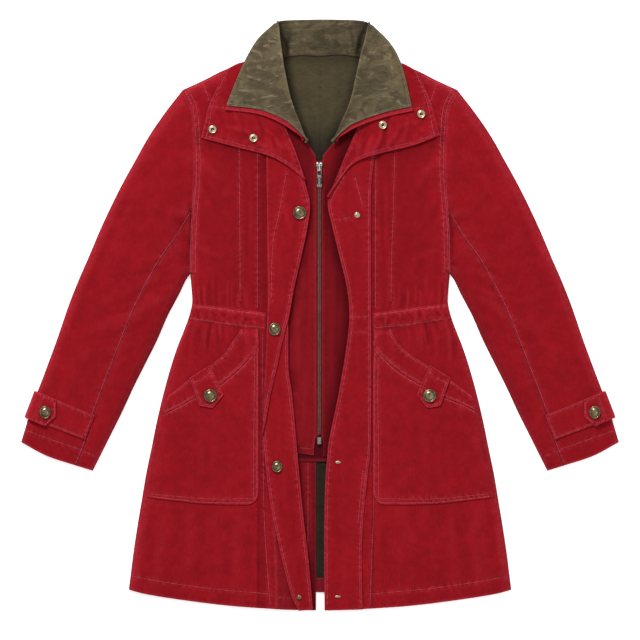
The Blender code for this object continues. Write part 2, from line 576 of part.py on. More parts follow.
def make_cuff(side):
    """A strap across the cuff, its keeper at the outer edge and the pointed snap tab."""
    name = side_name(side)
    corner = {key: (side * px, py) for key, (px, py) in STRAP.items()}
    strap = patch([corner["outer_top"], corner["outer_bottom"]],
                  [corner["inner_top"], corner["inner_bottom"]],
                  [corner["outer_top"], corner["inner_top"]],
                  [corner["outer_bottom"], corner["inner_bottom"]])
    width = math.dist(corner["outer_top"], corner["inner_top"])

    edge_x, edge_y = STRAP["outer_top"]

    def on_cuff(lift, past=0.0):
        """Level with the cuff, rounding over towards the strap's outer edge or just past it."""
        def height(x, y, u, v):
            level = front_top(np.minimum(np.abs(x), STRAP_LEVEL_X), y)
            from_edge = edge_x + past - np.abs(x) + STRAP_LEAN * (y - edge_y)
            return EDGE_Z + (level + ON_TOP + lift - EDGE_Z) * roll(np.maximum(from_edge, 0),
                                                                    STRAP_ROLL)
        return height
    sheet(name + "_cuff_strap", strap, stations(5, width, (0, 0.8, 3.5, 8, 14)),
          np.linspace(0, 1, 4), on_cuff(PATCH_WALL + 0.4), PATCH_WALL, ("red canvas", RED))

    base_top, shoulder_top, point, shoulder_low, base_low = mirrored(CUFF_TAB, side)
    outer_top, outer_low = inset([corner["outer_top"], corner["outer_bottom"]],
                                 side * KEEPER_PAST)
    inner_top, inner_low = inset([base_top, base_low], side * KEEPER_GAP)
    keeper = patch([outer_top, outer_low], [inner_top, inner_low], [outer_top, inner_top],
                   [outer_low, inner_low])
    sheet(name + "_cuff_keeper", keeper, stations(2, KEEPER_WIDTH, (0, 0.8, 3.5, 8)),
          np.linspace(0, 1, 4), on_cuff(2 * PATCH_WALL + 1.6, KEEPER_PAST), PATCH_WALL,
          ("red canvas", RED))
    tab = patch([base_top, base_low], [shoulder_top, shoulder_low], [base_top, shoulder_top],
                [base_low, shoulder_low])
    tip = np.array(point) - (np.array(shoulder_top) + np.array(shoulder_low)) / 2

    def pointed(u, v):
        push = (np.clip((u - 0.5) / 0.5, 0, 1) * (1 - np.abs(2 * v - 1)))[..., None]
        return tab(u, v) + push * tip
    return sheet(name + "_cuff_tab", pointed, np.linspace(0, 1, 5), np.linspace(0, 1, 5),
                 on_cuff(2 * PATCH_WALL + 1.6), PATCH_WALL, ("red canvas", RED))


def make_closure():
    """Storm flap, under-placket, left placket, zipped inner panels and zip guard."""
    guard = patch([(-35, -110), (-34, -234)], [(11, -110), (10, -234)], [(-35, -110), (11, -110)],
                  [(-34, -234), (10, -234)])
    sheet("zip_guard", guard, stations(3, 46), stations(5, 124),
          lambda x, y, u, v: GUARD_Z + 0 * x, 1.2, ("hem facing", DARK_RED))
    for side, outer, inner, top, hem in (
            (-1, VEST_RIGHT_SIDE, VEST_RIGHT_ZIP, [(-72, 300), (-36, 286), (-7, 256)],
             [(-42, -220), (-9.4, -224.5)]),
            (1, VEST_LEFT_SIDE, VEST_LEFT_ZIP, [(72, 300), (36, 286), (4, 256)],
             [(82, -224), (5, -226)])):
        place = patch(outer, inner, top, hem)
        sheet(side_name(side) + "_inner_panel", place, stations(3, 60), stations(11, 500),
              lambda x, y, u, v: VEST_Z + 0 * x, VEST_WALL, ("red canvas", RED))

    def underlap(x, y, u, v):
        return UNDERLAP_Z + (CENTRE_Z - 0.4 - UNDERLAP_Z) * smooth(-u, -0.62, -0.12)
    place = patch(UNDERLAP_SEAM, [(-6.4, -190), (-6.4, -472.6)], [(-79.4, -190), (-6.4, -190)],
                  [(-68.4, -470.6), (-40, -472), (-6.4, -472.6)])
    sheet("right_underlap", place, stations(5, 60, (0, 6)), stations(7, 280), underlap,
          FRONT_WALL - 0.2, ("red canvas", RED))

    def free_edge_x(points):
        table = np.array(sorted((y, x) for x, y in points))
        return lambda y: np.interp(y, table[:, 0], table[:, 1])
    strip_x = free_edge_x(STRIP_FREE)
    strip = patch(STRIP_SEAM, STRIP_FREE, [(-84, 10), (-54, 10)], [(-34, -473), (-11, -471)])
    sheet("storm_flap_lower", strip, stations(4, 46), stations(16, 480),
          lambda x, y, u, v: flap_top(x, y, strip_x(y)) + 0.7, BAND_WALL, ("red canvas", RED))
    flap = patch(FLAP_SEAM, FLAP_FREE, [(-86, 262), (-20, 250)], [(-92.2, -191.6), (-91.8, -192.4)])

    def upper(x, y, u, v):
        over_strip = (BAND_WALL + 1.3) * smooth(-y, -54, -16)
        puff = 0.9 * np.sin(math.pi * np.clip(u, 0, 1)) * smooth(y, 0, 60)
        lift = 1.6 * smooth(u, 0.7, 1.0) * smooth(y, 60, 150)
        return FLAP_Z + over_strip + puff + lift
    sheet("storm_flap_upper", flap, stations(5, 70), stations(15, 460), upper, BAND_WALL,
          ("red canvas", RED))
    placket_x = free_edge_x(PLACKET_FREE)
    placket = patch(PLACKET_FREE, PLACKET_SEAM, [(38, 262), (88, 262)],
                    [(7, -472.8), (68.5, -470.8)])

    def placket_top(x, y, u, v):
        puff = 1.2 * np.sin(math.pi * np.clip(u, 0, 1)) * smooth(y, 40, 120)
        lift = 1.4 * smooth(-u, -0.3, 0.0) * smooth(y, -150, 20)
        return flap_top(x, y, placket_x(y)) + 0.1 + puff + lift
    sheet("left_placket", placket, stations(5, 60), stations(22, 740), placket_top, BAND_WALL,
          ("red canvas", RED))


def make_collars():
    """Red outer collar on the fronts, olive inner collar turned out over it."""
    for side, lapel, leaf in ((-1, LAPEL_RIGHT, LEAF_RIGHT), (1, LAPEL_LEFT, LEAF_LEFT)):
        name = side_name(side)
        place = patch(lapel["outer"], lapel["inner"], lapel["top"], lapel["bottom"])

        def lapel_top(x, y, u, v):
            lift = 1.2 * smooth(v, 0.75, 1.0) * np.sin(math.pi * np.clip(u * 0.85 + 0.1, 0, 1))
            over_flap = LAPEL_RISE * smooth(-np.abs(x), -104, -84) * smooth(-y, -296, -266)
            inward = (CENTRE_Z - BODY_Z) * smooth(-np.abs(x), -165, -92)
            return LAPEL_Z + inward + lift + over_flap
        sheet(name + "_outer_collar", place, stations(9, 140), stations(8, 120), lapel_top,
              LAPEL_WALL, ("red canvas", RED))

        section = np.array(LEAF_SECTION)
        leaf_place = patch(leaf["outer"], leaf["inner"], leaf["top"], leaf["bottom"])

        def crest(v):
            return LEAF_CREST_Z - 5.0 * smooth(v, 0.62, 1.0) - 4.0 * smooth(-v, -0.25, 0.0)

        def leaf_top(x, y, u, v):
            share = np.interp(u, np.linspace(0, 1, len(section)), section[:, 1])
            base = LEAF_Z + 1.2 * smooth(-v, -0.5, 0.0)
            rise = crest(v) - base
            foot = LINING_Z + LEAF_WALL + 1.6 + (VEST_Z - LINING_Z) * smooth(-y, -330, -302)
            drop = base - foot - (base - foot) * 0.6 * smooth(y, 395, 425)
            return np.where(share >= 0, base + rise * share, base + drop * share)

        def leaf_plan(u, v):
            share = np.interp(u, np.linspace(0, 1, len(section)), section[:, 0])
            return leaf_place(share, v)
        rows = np.linspace(0, 1, 11)
        sheet(name + "_inner_collar", leaf_plan, np.linspace(0, 1, len(section)), rows, leaf_top,
              LEAF_WALL, ("olive cloth", OLIVE))

        under_cut = 4
        under_share = section[:under_cut]

        def under_plan(u, v):
            share = np.interp(u, np.linspace(0, 1, under_cut), under_share[:, 0])
            down = np.array([side * 0.25, -1.0]) * LEAF_UNDER_SHOWS
            return leaf_place(share, v) + smooth(v, 0.8, 1.0)[..., None] * down

        def under_top(x, y, u, v):
            share = np.interp(u, np.linspace(0, 1, under_cut), under_share[:, 1])
            base = LEAF_Z + 1.2 * smooth(-v, -0.5, 0.0)
            return base + (crest(v) - base) * share - LEAF_WALL - 0.5 - 1.0 * share
        sheet(name + "_collar_edge", under_plan, np.linspace(0, 1, under_cut), rows[2:], under_top,
              LEAF_WALL, ("red canvas", RED))

    section = np.array(STAND_SECTION)
    rows = np.array([s for s, _ in STAND_SECTION])
    stand = patch([STAND_NECK[0], STAND_TOP[0]], [STAND_NECK[-1], STAND_TOP[-1]], STAND_NECK,
                  STAND_TOP)

    def stand_top(x, y, u, v):
        ends = 2.0 * (2 * np.abs(u - 0.5)) ** 3 * smooth(v, 0.2, 1.0)
        return np.interp(v, section[:, 0], section[:, 1]) + ends
    sheet("collar_stand", stand, stations(8, 120), rows, stand_top, LEAF_WALL,
          ("olive cloth", OLIVE))
    outer = patch([(-53, 414), (-59, 468)], [(58, 414), (70, 468)],
                  [(-53, 414), (0, 412.7), (58, 414)], [(-59, 468), (5, 470.5), (70, 468)])

    def outer_top(x, y, u, v):
        return np.maximum(np.interp(v, section[:, 0], section[:, 1]) - LEAF_WALL - 2.0, 1.9)
    sheet("collar_back", outer, stations(8, 150), rows, outer_top, 1.6, ("red canvas", RED))


def box(name, low, high, bevel, colour):
    """A block between two corners, with its edges rounded."""
    mesh = bpy.data.meshes.new(name)
    solid = bmesh.new()
    bmesh.ops.create_cube(solid, size=1.0)
    centre = [(a + b) / 2 * MM for a, b in zip(low, high)]
    size = [(b - a) * MM for a, b in zip(low, high)]
    for vert in solid.verts:
        vert.co = [c * s for c, s in zip(vert.co, size)]
    solid.to_mesh(mesh)
    solid.free()
    obj = add_object(name, mesh, HARDWARE)
    obj.location = centre
    soften = obj.modifiers.new("edges", "BEVEL")
    soften.width = bevel * MM
    soften.segments = 1
    paint(obj, *colour)
    return obj


def outline_plate(name, outlines, thickness, collection):
    """A flat plate from closed outlines (the first is solid, the others are holes)."""
    flat = bpy.data.curves.new(name, "CURVE")
    flat.dimensions = "2D"
    flat.fill_mode = "BOTH"
    flat.extrude = thickness / 2 * MM
    for points in outlines:
        spline = flat.splines.new("POLY")
        spline.points.add(len(points) - 1)
        for point, (px, py) in zip(spline.points, points):
            point.co = (px * MM, py * MM, 0, 1)
        spline.use_cyclic_u = True
    drawn = bpy.data.objects.new(name + "_outline", flat)
    collection.objects.link(drawn)
    graph = bpy.context.evaluated_depsgraph_get()
    mesh = bpy.data.meshes.new_from_object(drawn.evaluated_get(graph))
    bpy.data.objects.remove(drawn)
    solid = bmesh.new()
    solid.from_mesh(mesh)
    bmesh.ops.remove_doubles(solid, verts=solid.verts, dist=1e-6)
    bmesh.ops.recalc_face_normals(solid, faces=solid.faces)
    solid.to_mesh(mesh)
    solid.free()
    mesh.name = name
    return add_object(name, mesh, collection)


def rounded_rectangle(half_width, low, high, radius, steps=3):
    points = []
    for cx, cy, start in ((half_width - radius, high - radius, 0),
                          (-half_width + radius, high - radius, 90),
                          (-half_width + radius, low + radius, 180),
                          (half_width - radius, low + radius, 270)):
        for k in range(steps + 1):
            angle = math.radians(start + 90 * k / steps)
            points.append((cx + radius * math.cos(angle), cy + radius * math.sin(angle)))
    return points


def make_zip():
    """The closed chain, its slider with a bridge, the hinged pull tab and the retainer."""
    box("zip_chain", (CHAIN_X - CHAIN_HALF, -194.5, GUARD_Z + 0.4),
        (CHAIN_X + CHAIN_HALF, SLIDER_Y[1] - 4, CHAIN_Z), 0.5, ("zip chain", BRONZE, 0.45, 0.7))
    box("zip_retainer", (CHAIN_X - 3.4, -206.5, GUARD_Z + 0.4), (CHAIN_X + 3.4, -195.0, 11.4), 0.6,
        ("steel", STEEL, 0.3, 1.0))
    body = box("zip_slider", (CHAIN_X - SLIDER_HALF, SLIDER_Y[0], SLIDER_BASE_Z[0]),
               (CHAIN_X + SLIDER_HALF, SLIDER_Y[1], SLIDER_BASE_Z[1]), 0.7,
               ("steel", STEEL, 0.3, 1.0))
    foot, head = PIVOT_Y - 2.9, PIVOT_Y + 8.6
    low = SLIDER_BASE_Z[1] - 0.8
    arch = [(foot, low), (head, low), (head, BRIDGE_TOP_Z - 1.6), (head - 1.8, BRIDGE_TOP_Z),
            (foot + 1.4, BRIDGE_TOP_Z), (foot, BRIDGE_TOP_Z - 1.4)]
    gap = [(foot + 1.5, low + 1.2), (head - 1.6, low + 1.2), (head - 1.6, BRIDGE_TOP_Z - 2.2),
           (head - 2.4, BRIDGE_TOP_Z - 1.4), (foot + 2.2, BRIDGE_TOP_Z - 1.4),
           (foot + 1.5, BRIDGE_TOP_Z - 2.0)]
    bridge = outline_plate("bridge_cutter", [arch, gap], 2.8, CUTTERS)
    bridge.rotation_euler = (math.radians(90), 0, math.radians(90))
    bridge.location = (CHAIN_X * MM, 0, 0)
    bridge.hide_render = True
    bridge.display_type = "WIRE"
    join = body.modifiers.new("bridge", "BOOLEAN")
    join.operation = "UNION"
    join.object = bridge

    hinge = bpy.data.objects.new("pull_hinge", None)
    HARDWARE.objects.link(hinge)
    hinge.location = (CHAIN_X * MM, PIVOT_Y * MM, PIVOT_Z * MM)
    hinge.rotation_euler = (math.radians(PULL_REST), 0, 0)
    plate = rounded_rectangle(PULL_HALF, -PULL_LENGTH, 0.8, 1.8)
    eye = rounded_rectangle(PULL_EYE_HALF, -PULL_EYE[1], -PULL_EYE[0], 1.0)
    pull = outline_plate("zip_pull", [plate, eye], PULL_WALL, HARDWARE)
    pull.parent = hinge
    paint(pull, "steel", STEEL, 0.3, 1.0)


def make_snaps(flap, strip, placket, lapels, pocket_tabs, cuff_tabs):
    """Domed caps, the ring sockets under the collar, and the placket's studs."""
    brass = ("antique brass", BRASS, 0.4, 0.9)
    for name, place, carrier in (("flap_cap_1", (-32.5, 164.0), flap),
                                 ("flap_cap_2", (-72.5, -22.0), flap),
                                 ("flap_cap_3", (-68.5, -242.0), strip)):
        seated(name, CAP_PROFILE, place, [carrier], 12, brass)
    seated("flap_hem_rivet", STUD_PROFILE, (-33.5, -451.0), [strip], 8, brass)
    for side in (-1, 1):
        name = side_name(side)
        seated(name + "_pocket_cap", CAP_PROFILE, (side * POCKET_CAP[0], POCKET_CAP[1]),
               [pocket_tabs[side]], 12, brass)
        seated(name + "_cuff_cap", CAP_PROFILE, (side * CUFF_CAP[0], CUFF_CAP[1]),
               [cuff_tabs[side]], 12, brass)
    for name, place, side in (("right_collar_socket_1", (-172.0, 297.5), -1),
                              ("right_collar_socket_2", (-106.5, 283.5), -1),
                              ("left_collar_socket_1", (162.0, 322.0), 1),
                              ("left_collar_socket_2", (100.5, 304.5), 1)):
        seated(name, SOCKET_PROFILE, place, [lapels[side]], 10, brass)
    for number, place in enumerate(((59.5, 160.5), (29.0, -235.0), (28.5, -450.0)), 1):
        seated("placket_stud_%d" % number, STUD_PROFILE, place, [placket], 8, brass)


for old in list(bpy.data.objects):
    bpy.data.objects.remove(old, do_unlink=True)
CLOTH = bpy.data.collections.new("Anorak")
HARDWARE = bpy.data.collections.new("Anorak hardware")
CUTTERS = bpy.data.collections.new("Cutters")
for group in (CLOTH, HARDWARE, CUTTERS):
    bpy.context.scene.collection.children.link(group)

make_back()
pocket_tabs, cuff_tabs = {}, {}
for half in (-1, 1):
    make_front(half)
    make_sleeve(half)
    make_casing(half)
    pocket_tabs[half] = make_pocket(half)
    cuff_tabs[half] = make_cuff(half)
make_closure()
make_collars()
make_zip()
pieces = bpy.data.objects
make_snaps(pieces["storm_flap_upper"], pieces["storm_flap_lower"], pieces["left_placket"],
           {-1: pieces["right_outer_collar"], 1: pieces["left_outer_collar"]}, pocket_tabs,
           cuff_tabs)
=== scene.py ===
"""Looks for the red anorak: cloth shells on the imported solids, stitching, zip and snaps.

Tables and named sizes are in millimetres, as in the part's own source.
"""
import math

import bpy
import numpy as np
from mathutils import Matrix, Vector
from mathutils.bvhtree import BVHTree


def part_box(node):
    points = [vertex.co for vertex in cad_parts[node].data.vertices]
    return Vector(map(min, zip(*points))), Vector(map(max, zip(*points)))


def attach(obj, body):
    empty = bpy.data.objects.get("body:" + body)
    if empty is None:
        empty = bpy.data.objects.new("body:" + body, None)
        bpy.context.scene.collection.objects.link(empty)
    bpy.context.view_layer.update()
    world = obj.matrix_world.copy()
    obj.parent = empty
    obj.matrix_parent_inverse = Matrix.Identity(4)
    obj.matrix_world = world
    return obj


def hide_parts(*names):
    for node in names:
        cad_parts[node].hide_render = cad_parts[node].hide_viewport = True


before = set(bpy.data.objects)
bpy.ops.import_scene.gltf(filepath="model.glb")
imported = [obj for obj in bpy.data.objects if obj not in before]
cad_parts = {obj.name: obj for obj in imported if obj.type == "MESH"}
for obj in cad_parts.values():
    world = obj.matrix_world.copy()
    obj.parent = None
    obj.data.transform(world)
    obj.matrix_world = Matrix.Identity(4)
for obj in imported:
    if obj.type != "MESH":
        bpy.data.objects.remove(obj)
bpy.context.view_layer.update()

MM = 0.001
STEP = 2.4                 # spacing of the points of a cloth shell
STITCH_PITCH = 3.9
STITCH_LENGTH = 3.0
STITCH_WIDTH = 1.0
STITCH_SUNK, STITCH_RISE, STITCH_ARCH = 0.08, 0.12, 0.34    # under, over and mid stitch
SEAM_DIP, SEAM_PUCKER, EDGE_PUCKER = 0.32, 0.24, 0.13       # how sewing shapes the cloth
EDGE_WEAR_AND_HIGHLIGHT, SEAM_WEAR, SEAM_SHADE = 0.85, 0.40, 0.26         # rubbed pale, along the edges partly a painted highlight; painted shade in the dip
WAIST_FOLDS = 13

# ---- driving sizes ---------------------------------------------------------------
EDGE_Z = 3.8               # top of the front cloth where it folds down at an outer edge
ROLL = 14.0                # width over which a side or sleeve edge rounds over
BODY_Z = 9.2               # top of the front cloth over the ribs and skirt
CENTRE_Z = 10.6            # the same beside the front opening, over the inner layers
SLEEVE_LOFT = 1.4          # how far the middle of a sleeve swells
SEAM_GROOVE, SEAM_GROOVE_WIDTH = 0.9, 5.0    # along the armhole and the forearm seam
HEM_DROP = 2.0             # how far the cloth settles at the hem
CUFF_DROP = 3.3            # and at the cuffs
BACK_WALL = 2.0
FRONT_WALL = 1.6
LINING_WALL = 1.0
BAND_WALL = 1.8
PATCH_WALL = 1.4
ON_TOP = 0.45              # clear gap between a panel and what is sewn on it
LINING_Z = BACK_WALL + 0.3 + LINING_WALL
UNDERLAP_Z = 5.1           # under-placket of the right front, at its free edge
GUARD_Z = 6.8              # strip of cloth behind the zip
VEST_Z = 8.6               # zipped inner panels
VEST_WALL = 1.3
FLAP_Z = 12.9              # storm flap and left placket, over the inner panels
FLAP_HEM_Z = 9.6           # the same at the free edges, below the inner panels
LAPEL_Z = 11.9             # outer collar where it lies on the fronts
LAPEL_RISE = 4.2           # what it climbs to lie over the storm flap and placket
LAPEL_WALL = 2.0
LEAF_Z = 16.5              # free corner of the inner collar, turned out over the lapel
LEAF_CREST_Z = 31.0        # where the inner collar rolls over at the neck
LEAF_WALL = 1.2

CHAIN_X = -1.1             # middle of the zip
CHAIN_LOW_Y = -192.0
TOOTH = (2.5, 1.5, 1.9)    # over the zip, along it, and high
TOOTH_PITCH, TOOTH_OFF, TOOTH_Z = 3.0, 1.4, 9.5
TAPE_X, TAPE_Y, TAPE_Z = (-10.5, 8.0), (249, -196), 8.35
SLIDER_Y = (229.4, 246.0)
SLIDER_HALF = 5.4
SLIDER_BASE_Z = (10.7, 13.3)
BRIDGE_TOP_Z = 17.6
PIVOT_Y = 232.6            # hinge of the pull tab, inside the slider's bridge
PIVOT_Z = 14.9
PULL_REST = 6.0            # degrees below level at which the pull tab rests
PULL_EYE = (1.0, 8.4)      # the eye starts and ends this far from the hinge
PULL_EYE_HALF = 2.5

# ---- outline of half the coat (x from the centre line, y towards the collar) -------
SHOULDER = [  # x, y from the neck to the sleeve head
    (122, 407.5), (153, 393.5), (186, 377), (220, 361.5)]
SLEEVE_OUTER = [  # x, y from the sleeve head to the cuff
    (221.6, 359), (248, 325), (274, 287), (296, 248), (317, 210), (336, 172), (354, 133),
    (370, 95), (387, 56), (402, 18), (422, -40), (443, -97), (461, -145), (479, -203)]
SLEEVE_INNER = [  # x, y from the underarm to the cuff
    (208, 66), (215, 56), (224, 37), (234, 18), (244, -1), (261, -40), (280, -78),
    (299, -116), (317, -155), (336, -193), (364, -249)]
CUFF = [  # x, y from the outer to the inner corner
    (479, -203), (438, -225), (390, -241), (364, -249)]
ARMHOLE = [  # x, y from the sleeve head to the underarm
    (220, 361), (206, 332), (202, 298), (200, 237), (202, 199), (205, 164), (207, 115),
    (208, 66)]
SIDE = [  # x, y from the underarm to the hem
    (208, 66), (206, 42), (205, 20), (210, -2), (218, -24), (229, -52), (240, -86),
    (251, -126), (261, -168), (270, -212), (279, -256), (286, -298), (293, -340),
    (299, -380), (303, -412), (306.5, -439.5)]
HEM = [  # x, y of the front hem from the side to the middle
    (306.5, -439.5), (282, -446), (224, -455.5), (147, -465), (70, -470.6), (0, -473)]
BACK_HEM_Y = -443.8        # the back is cut straight and a little shorter
FOREARM_SEAM = [  # x, y from the armhole to the cuff
    (205, 164), (230, 124), (258, 84), (296, 12), (325, -60), (363, -160), (374, -200),
    (390, -241)]
BACK_NECK = [  # x, y across the back from one shoulder to the other
    (-125, 402), (-90, 410), (-60, 413.5), (0, 412), (60, 413.5), (90, 410), (125, 402)]

# ---- centre front -----------------------------------------------------------------
RIGHT_FRONT_EDGE = [  # x, y, neck to hem, under the storm flap
    (-125, 402), (-104, 345), (-86, 290), (-80, 200), (-80, -190), (-79, -250),
    (-74, -330), (-70, -400), (-69, -470.6)]
LEFT_FRONT_EDGE = [  # x, y, neck to hem, under the placket
    (125, 402), (104, 345), (84, 290), (75, 200), (75, -190), (70, -300), (64, -380),
    (62, -470.8)]
FLAP_SEAM = [  # x, y, left side of the storm flap where it is sewn to the right front
    (-86, 262), (-85, 190), (-84, 100), (-83, 40), (-85, -24), (-88, -88), (-91, -150),
    (-92, -192)]
FLAP_FREE = [  # x, y, free edge of its upper part, which ends on the lower strip
    (-20, 250), (-21, 214), (-16, 180), (-19, 146), (-31, 88), (-42, 40), (-50, -4),
    (-55, -22), (-68, -81), (-78, -123), (-86, -167), (-92, -192)]
STRIP_SEAM = [  # x, y, sewn side of the lower strip
    (-84, 10), (-85, -24), (-88, -88), (-91, -150), (-91, -192), (-86, -251),
    (-79, -305), (-69, -354), (-58, -403), (-45, -451), (-34, -473)]
STRIP_FREE = [  # x, y, its free edge
    (-54, 10), (-51, -12), (-50, -88), (-45, -123), (-37, -209), (-30, -287),
    (-24, -343), (-18.5, -390), (-11, -471)]
UNDERLAP_SEAM = [  # x, y, sewn side of the under-placket
    (-79.4, -190), (-78.4, -250), (-73.4, -330), (-69.4, -400), (-68.4, -470.6)]
PLACKET_FREE = [  # x, y, free edge of the left placket
    (38, 262), (27, 222), (12, 180), (20, 140), (32.6, 88), (42.7, 45), (47, 0),
    (42.7, -47), (30, -124), (14.4, -200), (11, -231), (8.5, -264), (6.8, -337),
    (7, -472.8)]
PLACKET_SEAM = [  # x, y, its sewn side
    (88, 262), (82, 200), (81.6, 100), (81.6, -200), (76, -260), (70.4, -315), (67, -383),
    (68.5, -470.8)]
VEST_RIGHT_SIDE = [(-72, 300), (-90, 215), (-92, 60), (-88, -60), (-58, -160), (-42, -220)]
VEST_RIGHT_ZIP = [(-7, 256), (-6.4, 150), (-6.4, -190), (-9.2, -210), (-9.4, -224.5)]
VEST_LEFT_SIDE = [(72, 300), (88, 215), (90, 60), (88, -60), (86, -150), (82, -224)]
VEST_LEFT_ZIP = [(4, 256), (3.4, 150), (3.4, -190), (5, -210), (5, -226)]

# ---- collars ----------------------------------------------------------------------
LAPEL_RIGHT = {  # outer collar, spread on the right front: four edges, top edge first
    "top": [(-150, 394), (-125, 405), (-84, 403)],
    "outer": [(-150, 394), (-164, 366), (-178, 336), (-184, 310), (-191, 284)],
    "bottom": [(-191, 284), (-131, 268), (-82, 255), (-52, 239), (-23, 215)],
    "inner": [(-84, 402), (-68, 350), (-55, 301), (-39, 262), (-23, 215)]}
LAPEL_LEFT = {
    "top": [(155, 391.5), (129, 404), (88, 404)],
    "outer": [(155, 391.5), (167, 366), (178, 340), (186, 312), (192, 288)],
    "bottom": [(192, 288), (150, 272), (90, 257), (53, 242), (26, 208), (12, 186)],
    "inner": [(88, 404), (74, 350), (61, 304), (43, 262), (27, 223), (12, 186)]}
LEAF_RIGHT = {  # inner collar, turned out over the outer one
    "top": [(-73, 467), (-66, 468.8)],
    "outer": [(-73, 467), (-99, 443), (-118, 412), (-134, 376), (-150, 335.5)],
    "bottom": [(-150, 335.5), (-94, 328), (-55, 311), (-36, 295.5), (-20.5, 278)],
    "inner": [(-66, 468.8), (-63, 440), (-60, 418), (-55, 387), (-45, 343), (-32, 308),
              (-20.5, 278)]}
LEAF_LEFT = {
    "top": [(84, 464.0), (77, 467.2)],
    "outer": [(84, 464.0), (106, 443), (122, 421), (134, 390), (147, 334)],
    "bottom": [(147, 334), (102, 324), (53, 306), (34, 292), (19.5, 276.5)],
    "inner": [(77, 467.2), (71, 440), (65, 418), (58, 387), (48, 343), (34, 309), (19.5, 276.5)]}
LEAF_SECTION = [  # share of the way to the neck roll, share of the rise, round the roll
    (0.0, 0.0), (0.22, 0.08), (0.45, 0.24), (0.66, 0.52), (0.82, 0.80), (0.93, 0.97),
    (0.985, 0.99), (1.0, 0.80), (0.992, 0.30), (0.975, -0.55), (0.965, -0.95)]
LEAF_UNDER_SHOWS = 7.0     # how far the red underside shows past the olive leaf
STAND_NECK = [(-55, 414), (-30, 416.5), (0, 415.5), (32, 417.5), (60, 414)]
STAND_TOP = [(-62, 470), (-40, 472), (5, 473), (50, 472), (73, 470)]
STAND_SECTION = [  # share from neck to top edge, height of the olive face
    (0.0, 5.2), (0.2, 7.6), (0.45, 13.0), (0.7, 17.6), (0.9, 20.4), (1.0, 21.0)]

# ---- pockets ----------------------------------------------------------------------
POCKET_BOTTOM_Y = (-303, -291)      # at the front edge and at the side seam
POCKET_CORNER = 19.0
MOUTH = {  # x from the centre line, y: the pocket's upper edge and the band's line
    "right": {"upper": [(129, -27), (136, -36), (151, -59), (173, -78), (210, -103),
                        (243, -129)],
              "lower": [(98.4, -49), (119, -76), (139, -95), (161, -112), (198, -131),
                        (227, -147), (254, -160)],
              "edge_x": 98.4},
    "left": {"upper": [(115, -27), (135, -55), (169, -78), (208, -103), (243, -129)],
             "lower": [(86, -51), (106, -73), (130, -93), (157, -109), (198, -131),
                       (228, -143), (254, -156)],
             "edge_x": 84.8}}
POCKET_TAB = [  # x from the centre line, y: base corners, shoulders and point
    (209, -100), (176, -79), (154, -127), (172, -149), (193, -145)]

# ---- waist casing -----------------------------------------------------------------
CASING_TOP = [(205, 18.5), (170, 15), (128, 10), (86, 4)]
CASING_BOTTOM = [(210.5, -8), (170, -14), (133, -19.5), (86, -23.5)]

# ---- cuffs ------------------------------------------------------------------------
STRAP = {  # x from the centre line, y
    "outer_top": (455.5, -121), "outer_bottom": (471.5, -163),
    "inner_top": (360.5, -160), "inner_bottom": (376, -199)}
KEEPER_PAST = 2.2           # how far it reaches past the strap's edge to wrap it
STRAP_LEVEL_X = 430.0       # past this the strap rounds over, whatever the cuff does
STRAP_ROLL = 17.0
STRAP_LEAN = -0.381         # how its outer edge moves sideways as it goes down
CUFF_TAB = [(443, -127), (422, -135), (422.5, -162), (440, -177.5), (458, -170)]

# ---- soft folds: start x, y, end x, y, half width, height (wearer's right, mirrored) --
FOLDS = [
    (219, 150, 214, 84, 9, -2.2),       # hollow where the sleeve drops beside the body
    (232, 165, 262, 96, 14, 1.2),
    (250, 60, 330, 10, 13, -1.0),       # creases inside the elbow
    (262, 25, 345, -20, 11, 0.9),
    (300, 190, 330, 90, 16, 0.8),
    (345, 95, 385, -20, 15, -0.9),
    (372, -60, 408, -130, 13, 0.8),
    (200, 250, 150, 200, 15, 0.9),      # drag from the armhole
    (188, 120, 172, 30, 11, 0.8),
    (196, -20, 228, -150, 13, 1.0),     # folds that fall from the gathers
    (170, -25, 150, -60, 10, 0.8),
    (120, -25, 128, -70, 10, -0.8),
    (246, -190, 262, -420, 17, 1.1),
    (190, -320, 196, -450, 16, -0.9),
    (130, -315, 134, -460, 16, 0.9),
    (225, -320, 236, -440, 14, -0.8),
]
WAIST_Y = -5.0
WAIST_PLEATS = 4
WAIST_PLEAT_DEPTH = 0.8

# ---- lines of stitching (x, y; on the fronts x is from the centre line) ---------------
HEM_STITCH = [(302, -417.5), (241, -428.5), (168, -438.5), (97, -444.5)]
SHOULDER_STITCH = [(214, 360), (187, 372.5), (156.8, 387.0), (130, 400)]
YOKE_STITCH = [(187.2, 372.2), (176.0, 340.2)]
FRONT_STITCHES = {  # chest (two rows), skirt, on the left a dart, hem, shoulder, yoke
    -1: [[(129.6, 272), (128.8, 184.5), (128.0, 88.5), (128.0, 19.7)],
         [(100.0, 262), (100.3, 152.5), (100.0, 11.7)],
         [(92, -30), (91.2, -183.5), (89, -327.5), (80, -465)],
         HEM_STITCH + [(74, -446.5)], SHOULDER_STITCH, YOKE_STITCH],
    1: [[(120.0, 272), (116.8, 152.5), (114.4, 88.5), (113.6, 19.7)],
        [(89.6, 262), (88.8, 152.5), (88.8, 11.7)],
        [(90, -30), (89, -160), (86, -300), (80, -465)],
        [(114.4, -23.5), (124.8, -58.7), (147.2, -90.7)],
        HEM_STITCH + [(76, -446.5)], SHOULDER_STITCH, YOKE_STITCH]}
CUFF_HEM = [(468.8, -185.1), (424.0, -201.1), (382.4, -215.5), (358.4, -226.7)]
SLEEVE_STITCHES = [[(240, 338), (262, 306), (292, 258)]]
FLAP_STITCH = [(-53.9, 227.7), (-66.2, 160.5), (-73.6, 128.5), (-76.8, 88.5), (-77.6, 24.5)]
